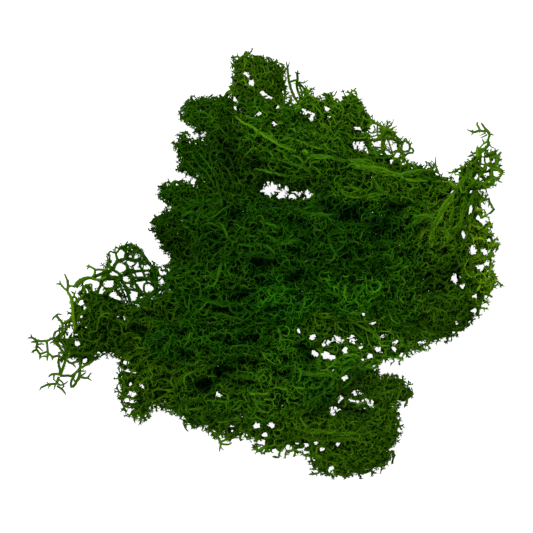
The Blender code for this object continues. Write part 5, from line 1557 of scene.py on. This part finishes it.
def twig_tree():
    """Turns a skeleton of joints to tubes, and sets a crown of points on each tip."""
    tree = bpy.data.node_groups.new("twigs from a skeleton", "GeometryNodeTree")
    add_input(tree, "Geometry", "NodeSocketGeometry")
    add_input(tree, "Thin sides", "NodeSocketInt", THIN_SIDES)
    add_input(tree, "Stout sides", "NodeSocketInt", STOUT_SIDES)
    add_input(tree, "Crown length", "NodeSocketFloat", CROWN_LENGTH * MM)
    add_input(tree, "Crown seed", "NodeSocketInt", SEED)
    add_input(tree, "Material", "NodeSocketMaterial")
    tree.interface.new_socket("Geometry", in_out="OUTPUT", socket_type="NodeSocketGeometry")
    given = add_node(tree, "NodeGroupInput").outputs
    radius = add_node(tree, "GeometryNodeInputNamedAttribute", {"Name": "thick"}).outputs[0]
    stout = add_node(tree, "GeometryNodeInputNamedAttribute", {"Name": "stout"},
                     data_type="BOOLEAN").outputs[0]
    thin = add_node(tree, "FunctionNodeBooleanMath", {0: stout}, operation="NOT").outputs[0]
    tubes = []
    for chosen, sides in ((thin, "Thin sides"), (stout, "Stout sides")):
        line = add_node(tree, "GeometryNodeMeshToCurve",
                        {"Mesh": given["Geometry"], "Selection": chosen})
        ring = add_node(tree, "GeometryNodeCurvePrimitiveCircle",
                        {"Resolution": given[sides], "Radius": 1.0})
        tube = add_node(tree, "GeometryNodeCurveToMesh",
                        {"Curve": line.outputs[0], "Profile Curve": ring.outputs[0],
                         "Scale": radius, "Fill Caps": True})
        tubes.append(tube)
    variants = []
    for prongs, lean in CROWNS:
        join = add_node(tree, "GeometryNodeJoinGeometry")
        for prong in range(prongs):
            cone = add_node(tree, "GeometryNodeMeshCone",
                            {"Vertices": THIN_SIDES, "Radius Top": 0.0,
                             "Radius Bottom": POINT_WIDTH, "Depth": 1.0}, fill_type="NGON")
            turn = 2.0 * math.pi * (prong + 0.13 * prongs) / prongs
            tilted = add_node(tree, "GeometryNodeTransform",
                              {"Geometry": cone.outputs[0],
                               "Rotation": (0.0, math.radians(lean), turn),
                               "Scale": (1.0, 1.0, 1.0 - 0.18 * prong)})
            tree.links.new(tilted.outputs[0], join.inputs[0])
        variants.append(add_node(tree, "GeometryNodeGeometryToInstance",
                                 {"Geometry": join.outputs[0]}))
    pick = add_node(tree, "GeometryNodeJoinGeometry")
    for variant in variants:
        tree.links.new(variant.outputs[0], pick.inputs[0])
    is_tip = add_node(tree, "GeometryNodeInputNamedAttribute", {"Name": "tip"},
                      data_type="BOOLEAN").outputs[0]
    aim = add_node(tree, "GeometryNodeInputNamedAttribute", {"Name": "aim"},
                   data_type="FLOAT_VECTOR").outputs[0]
    size = add_node(tree, "GeometryNodeInputNamedAttribute", {"Name": "crown"}).outputs[0]
    tips = add_node(tree, "GeometryNodeMeshToPoints",
                    {"Mesh": given["Geometry"], "Selection": is_tip})
    spin = add_node(tree, "FunctionNodeRandomValue",
                    {2: 0.0, 3: 2.0 * math.pi, "Seed": given["Crown seed"]},
                    data_type="FLOAT")
    spun = add_node(tree, "FunctionNodeAxisAngleToRotation",
                    {"Axis": (0.0, 0.0, 1.0), "Angle": spin.outputs[1]})
    facing = add_node(tree, "FunctionNodeAlignRotationToVector",
                      {"Rotation": spun.outputs[0], "Vector": aim}, axis="Z")
    which = add_node(tree, "FunctionNodeRandomValue",
                     {4: 0, 5: len(variants) - 1, "Seed": given["Crown seed"]},
                     data_type="INT")
    length = add_node(tree, "ShaderNodeMath", {0: size, 1: given["Crown length"]},
                      operation="MULTIPLY")
    crowns = add_node(tree, "GeometryNodeInstanceOnPoints",
                      {"Points": tips.outputs[0], "Instance": pick.outputs[0],
                       "Pick Instance": True, "Instance Index": which.outputs[2],
                       "Rotation": facing.outputs[0], "Scale": length.outputs[0]})
    whole = add_node(tree, "GeometryNodeJoinGeometry", {0: crowns.outputs[0]})
    for tube in tubes:
        tree.links.new(tube.outputs[0], whole.inputs[0])
    smooth = add_node(tree, "GeometryNodeSetShadeSmooth", {"Geometry": whole.outputs[0]})
    real = add_node(tree, "GeometryNodeRealizeInstances", {"Geometry": smooth.outputs[0]})
    dressed = add_node(tree, "GeometryNodeSetMaterial",
                       {"Geometry": real.outputs[0], "Material": given["Material"]})
    add_node(tree, "NodeGroupOutput", {"Geometry": dressed.outputs[0]})
    return tree


twigs = twig_tree()
print("nodes in the tree:", len(twigs.nodes))

# %% [markdown]
# Dyed lichen is dull, because its skin is a felt of fine threads, so it has no gloss at
# all. The dye takes unevenly, in patches half a centimetre wide and from twig to twig.
# Twigs are painted darker and bluer the deeper they lie below the clump's crest: that is painted
# shade, where the twigs above keep the light off. Those near the surface keep the dye's yellowish
# green.

# %% Dyed lichen
PATCH_WIDTH = 5.56
TWIG_TINT = 0.45
# Painted shade begins this far below the crest, in mm, and is full at the second depth.
SHADE_START_DEPTH = 0.6
FULL_SHADE_DEPTH = 4.5


def linear(code):
    """A colour of the shader from an sRGB hex code."""
    values = [int(code[start:start + 2], 16) / 255.0 for start in (1, 3, 5)]
    return [v / 12.92 if v <= 0.04045 else ((v + 0.055) / 1.055) ** 2.4 for v in values] + [1.0]


def set_stops(ramp, stops):
    """Gives a colour ramp its stops: (place, sRGB hex code)."""
    while len(ramp.elements) < len(stops):
        ramp.elements.new(0.5)
    for element, (position, code) in zip(ramp.elements, stops):
        element.position = position
        element.color = linear(code)


def dyed_lichen(name, deep, body, lit):
    """Dyed lichen: dull twigs in patches of paler and darker dye, with painted shade that darkens
    them the deeper they lie, so the twigs at the surface stay paler.
    """
    material = bpy.data.materials.new(name)
    material.use_nodes = True
    tree = material.node_tree
    shader = tree.nodes["Principled BSDF"]
    shader.inputs["Roughness"].default_value = 0.75
    shader.inputs["Specular IOR Level"].default_value = 0.0
    depth = add_node(tree, "ShaderNodeAttribute", attribute_name="depth")
    tint = add_node(tree, "ShaderNodeAttribute", attribute_name="tint")
    place = add_node(tree, "ShaderNodeTexCoord")
    patches = add_node(tree, "ShaderNodeTexNoise",
                       {"Vector": place.outputs["Object"],
                        "Scale": 1.0 / (PATCH_WIDTH * MM), "Detail": 2.0})
    strayed = add_node(tree, "ShaderNodeMath", {0: tint.outputs["Fac"], 1: TWIG_TINT},
                       operation="MULTIPLY")
    shade = add_node(tree, "ShaderNodeMath",
                       {0: patches.outputs["Fac"], 1: strayed.outputs[0]}, operation="ADD")
    colour = add_node(tree, "ShaderNodeValToRGB", {"Fac": shade.outputs[0]})
    set_stops(colour.color_ramp, [(0.35, body), (1.0, lit)])
    # Painted shade: the deeper a twig lies, the more its colour is mixed towards the deep colour.
    painted_depth_shade = add_node(tree, "ShaderNodeMapRange",
                    {"Value": depth.outputs["Fac"], "From Min": SHADE_START_DEPTH,
                     "From Max": FULL_SHADE_DEPTH, "To Min": 0.0, "To Max": 1.0})
    mix = add_node(tree, "ShaderNodeMix", {"Factor": painted_depth_shade.outputs[0]}, data_type="RGBA")
    tree.links.new(colour.outputs["Color"], mix.inputs[6])
    mix.inputs[7].default_value = linear(deep)
    tone = add_node(tree, "ShaderNodeAttribute", attribute_name="tone")
    toned = add_node(tree, "ShaderNodeVectorMath",
                     {0: mix.outputs[2], 1: tone.outputs["Vector"]}, operation="MULTIPLY")
    tree.links.new(toned.outputs[0], shader.inputs["Base Color"])
    return material


# The three slots are one material in three greens: each has a deep colour, which is painted
# shade on its deepest twigs, the colour of its twigs and the colour of its palest patches.
materials = {
    "deep_green": dyed_lichen("dyed lichen, deep", "#103406", "#154106", "#285807"),
    "mid_green": dyed_lichen("dyed lichen, mid", "#133606", "#1d4606", "#325d07"),
    "lime_green": dyed_lichen("dyed lichen, lime", "#204008", "#2f5709", "#4a720a"),
}
print("materials:", ", ".join(material.name for material in materials.values()))

# %% [markdown]
# Each tuft's twigs become one mesh that takes the place of its solid. No two tufts took
# up the same dye, so each piece has a tone: how light it is, and how warm, which is how
# much more red it has than its material. A piece without a tone has its material's own.

# %% Build the pieces
TONES = {
    "back_ridge": (0.84, 1.45), "bottom_fringe": (0.98, 0.91), "bottom_right_lobe": (0.84, 0.9),
    "bottom_twig": (0.7, 1.0), "centre_crown": (0.95, 1.02), "centre_mound": (0.86, 0.98),
    "centre_right_mound": (0.79, 0.97), "curled_stem": (0.8, 1.0), "dark_tuft": (1.26, 1.68),
    "hooked_twig": (0.65, 1.0), "left_body": (0.88, 1.2), "left_crown": (0.75, 0.9),
    "left_flank": (0.83, 1.08), "left_head_high": (0.75, 0.95), "left_head_low": (0.58, 1.02),
    "left_head_middle": (0.82, 0.87), "left_middle": (0.83, 0.78), "left_sprig": (0.6, 1.0),
    "left_stem": (0.8, 1.0), "lower_centre": (1.3, 0.85), "lower_left_band": (1.02, 1.02),
    "lower_left_lobe": (0.74, 0.91), "lower_left_sprig": (0.6, 1.0),
    "lower_middle_left": (1.06, 1.07), "lower_middle_right": (0.98, 0.79),
    "middle_band_left": (1.2, 0.6), "middle_band_right": (1.4, 0.75),
    "middle_right": (1.22, 1.2), "openwork": (1.38, 0.84), "right_body": (1.1, 1.19),
    "right_fan": (0.96, 0.88), "right_margin": (1.6, 1.15), "rosette": (1.02, 1.06),
    "top_floret": (0.86, 0.96), "top_tuft": (1.1, 0.91), "top_twigs": (0.5, 0.9),
    "upper_middle": (1.37, 1.04), "upper_right_arm": (0.79, 0.78),
    "upper_right_twig": (0.85, 1.0),
}
LINES_SEED = 99
HEAD_SPUR_CROWN = 0.6
slots = {entry["node"]: entry["material_slot"] for entry in frame["record"]["subparts"]}


def skeleton_mesh(name, arrays):
    """A mesh of joints and links with the attributes that the tree reads."""
    place = arrays["place"]
    mesh = bpy.data.meshes.new(name + "_skeleton")
    mesh.from_pydata((place * MM).tolist(), arrays["links"].tolist(), [])
    before = np.zeros(len(place), dtype=int)
    before[arrays["links"][:, 1]] = arrays["links"][:, 0]
    aim = unit(place - place[before])
    light, warmth = TONES.get(name, (1.0, 1.0))
    tone = np.outer(arrays["shine"], [light * warmth, light, light])
    tone[:, 0] *= np.sqrt(arrays["shine"])
    columns = {
        "thick": ("FLOAT", "value", arrays["thick"] * MM),
        "depth": ("FLOAT", "value", arrays["depth"]),
        "tint": ("FLOAT", "value", arrays["tint"]),
        "crown": ("FLOAT", "value", arrays["crown"]),
        "tone": ("FLOAT_VECTOR", "vector", tone.ravel()),
        "tip": ("BOOLEAN", "value", arrays["tip"]),
        "stout": ("BOOLEAN", "value", arrays["stout"]),
        "aim": ("FLOAT_VECTOR", "vector", aim.ravel()),
    }
    for key, (kind, field, values) in columns.items():
        attribute = mesh.attributes.new(key, kind, "POINT")
        attribute.data.foreach_set(field, values)
    return mesh


def set_input(modifier, name, value):
    """Sets a modifier's named input by its socket's identifier."""
    for item in modifier.node_group.interface.items_tree:
        if item.item_type == "SOCKET" and item.in_out == "INPUT" and item.name == name:
            modifier[item.identifier] = value
            return
    raise KeyError(name)


def make_piece(name, arrays, slot):
    """Dresses one piece's skeleton and lets it stand for its solid."""
    mesh = skeleton_mesh(name, arrays)
    item = bpy.data.objects.new(name + "_skeleton", mesh)
    bpy.context.scene.collection.objects.link(item)
    modifier = item.modifiers.new("twigs", "NODES")
    modifier.node_group = twigs
    set_input(modifier, "Material", materials[slot])
    depsgraph = bpy.context.evaluated_depsgraph_get()
    solid = bpy.data.meshes.new_from_object(item.evaluated_get(depsgraph))
    solid.name = name + "_twigs"
    bpy.data.objects.remove(item)
    piece = bpy.data.objects.new(name + "_twigs", solid)
    bpy.context.scene.collection.objects.link(piece)
    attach(piece, "root")
    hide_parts(name)
    solid.calc_loop_triangles()
    return len(solid.loop_triangles)


total = 0
largest = 0
for number, name in enumerate(tuft_names + SPRIG_NODES):
    chance = np.random.default_rng([SEED, number, LINES_SEED])
    lines = []
    if name in SPRIGS:
        lines += sprig_lines(name, chance)
    if name in skeletons:
        lines += tuft_lines(skeletons[name], HEAD_SPUR_CROWN if name in FINE else 0.0, chance)
    count = make_piece(name, line_arrays(lines), slots[name])
    total += count
    largest = max(largest, count)
print("triangles:", total, "and in the largest piece:", largest)

# %% [markdown]
# The photograph is a cut-out on pure white, so the table is a white light table: it
# shines a little itself and shows white through the clump. A wide soft lamp and a white
# room light the clump from above, and the camera looks straight down from far off, so
# that near and far twigs keep one scale.

# %% Table, light and camera
TABLE_SIDE = 3.0
ROOM_LIGHT = 0.8
LAMP_POWER = 5.6
LAMP_SIDE = 0.35
LAMP_PLACE = (-0.2, 0.35, 0.75)
SENSOR = 36.0
DISTANCE = 2.5
FOCUS_HEIGHT = 0.012


def make_table():
    """A plain white sheet under the clump that shines like a light table."""
    bpy.ops.mesh.primitive_plane_add(size=TABLE_SIDE, location=(0, 0, 0))
    table = bpy.context.object
    table.name = "table"
    material = bpy.data.materials.new("white table")
    material.use_nodes = True
    shader = material.node_tree.nodes["Principled BSDF"]
    shader.inputs["Base Color"].default_value = (0.3, 0.3, 0.3, 1.0)
    shader.inputs["Roughness"].default_value = 0.9
    shader.inputs["Emission Color"].default_value = (1, 1, 1, 1)
    shader.inputs["Emission Strength"].default_value = 0.95
    table.data.materials.append(material)


make_table()
world = bpy.data.worlds.new("studio")
bpy.context.scene.world = world
world.use_nodes = True
world.node_tree.nodes["Background"].inputs["Color"].default_value = (1, 1, 1, 1)
world.node_tree.nodes["Background"].inputs["Strength"].default_value = ROOM_LIGHT
lamp = bpy.data.lights.new("softbox", "AREA")
lamp.energy = LAMP_POWER
lamp.size = LAMP_SIDE
softbox = bpy.data.objects.new("softbox", lamp)
softbox.location = LAMP_PLACE
aim = Vector((0, 0, 0)) - softbox.location
softbox.rotation_euler = aim.to_track_quat("-Z", "Y").to_euler()
bpy.context.scene.collection.objects.link(softbox)
camera = bpy.data.cameras.new("camera")
camera.sensor_width = SENSOR
camera.lens = SENSOR * DISTANCE / (PHOTO_SIDE * PIXEL * MM)
eye = bpy.data.objects.new("camera", camera)
middle = in_plan((PHOTO_SIDE / 2.0, PHOTO_SIDE / 2.0)) * MM
eye.location = (middle[0], middle[1], DISTANCE + FOCUS_HEIGHT)
bpy.context.scene.collection.objects.link(eye)
bpy.context.scene.camera = eye
bpy.context.scene.view_settings.view_transform = "Standard"
print("the camera is", DISTANCE, "m over the clump, with a lens of", round(camera.lens), "mm")
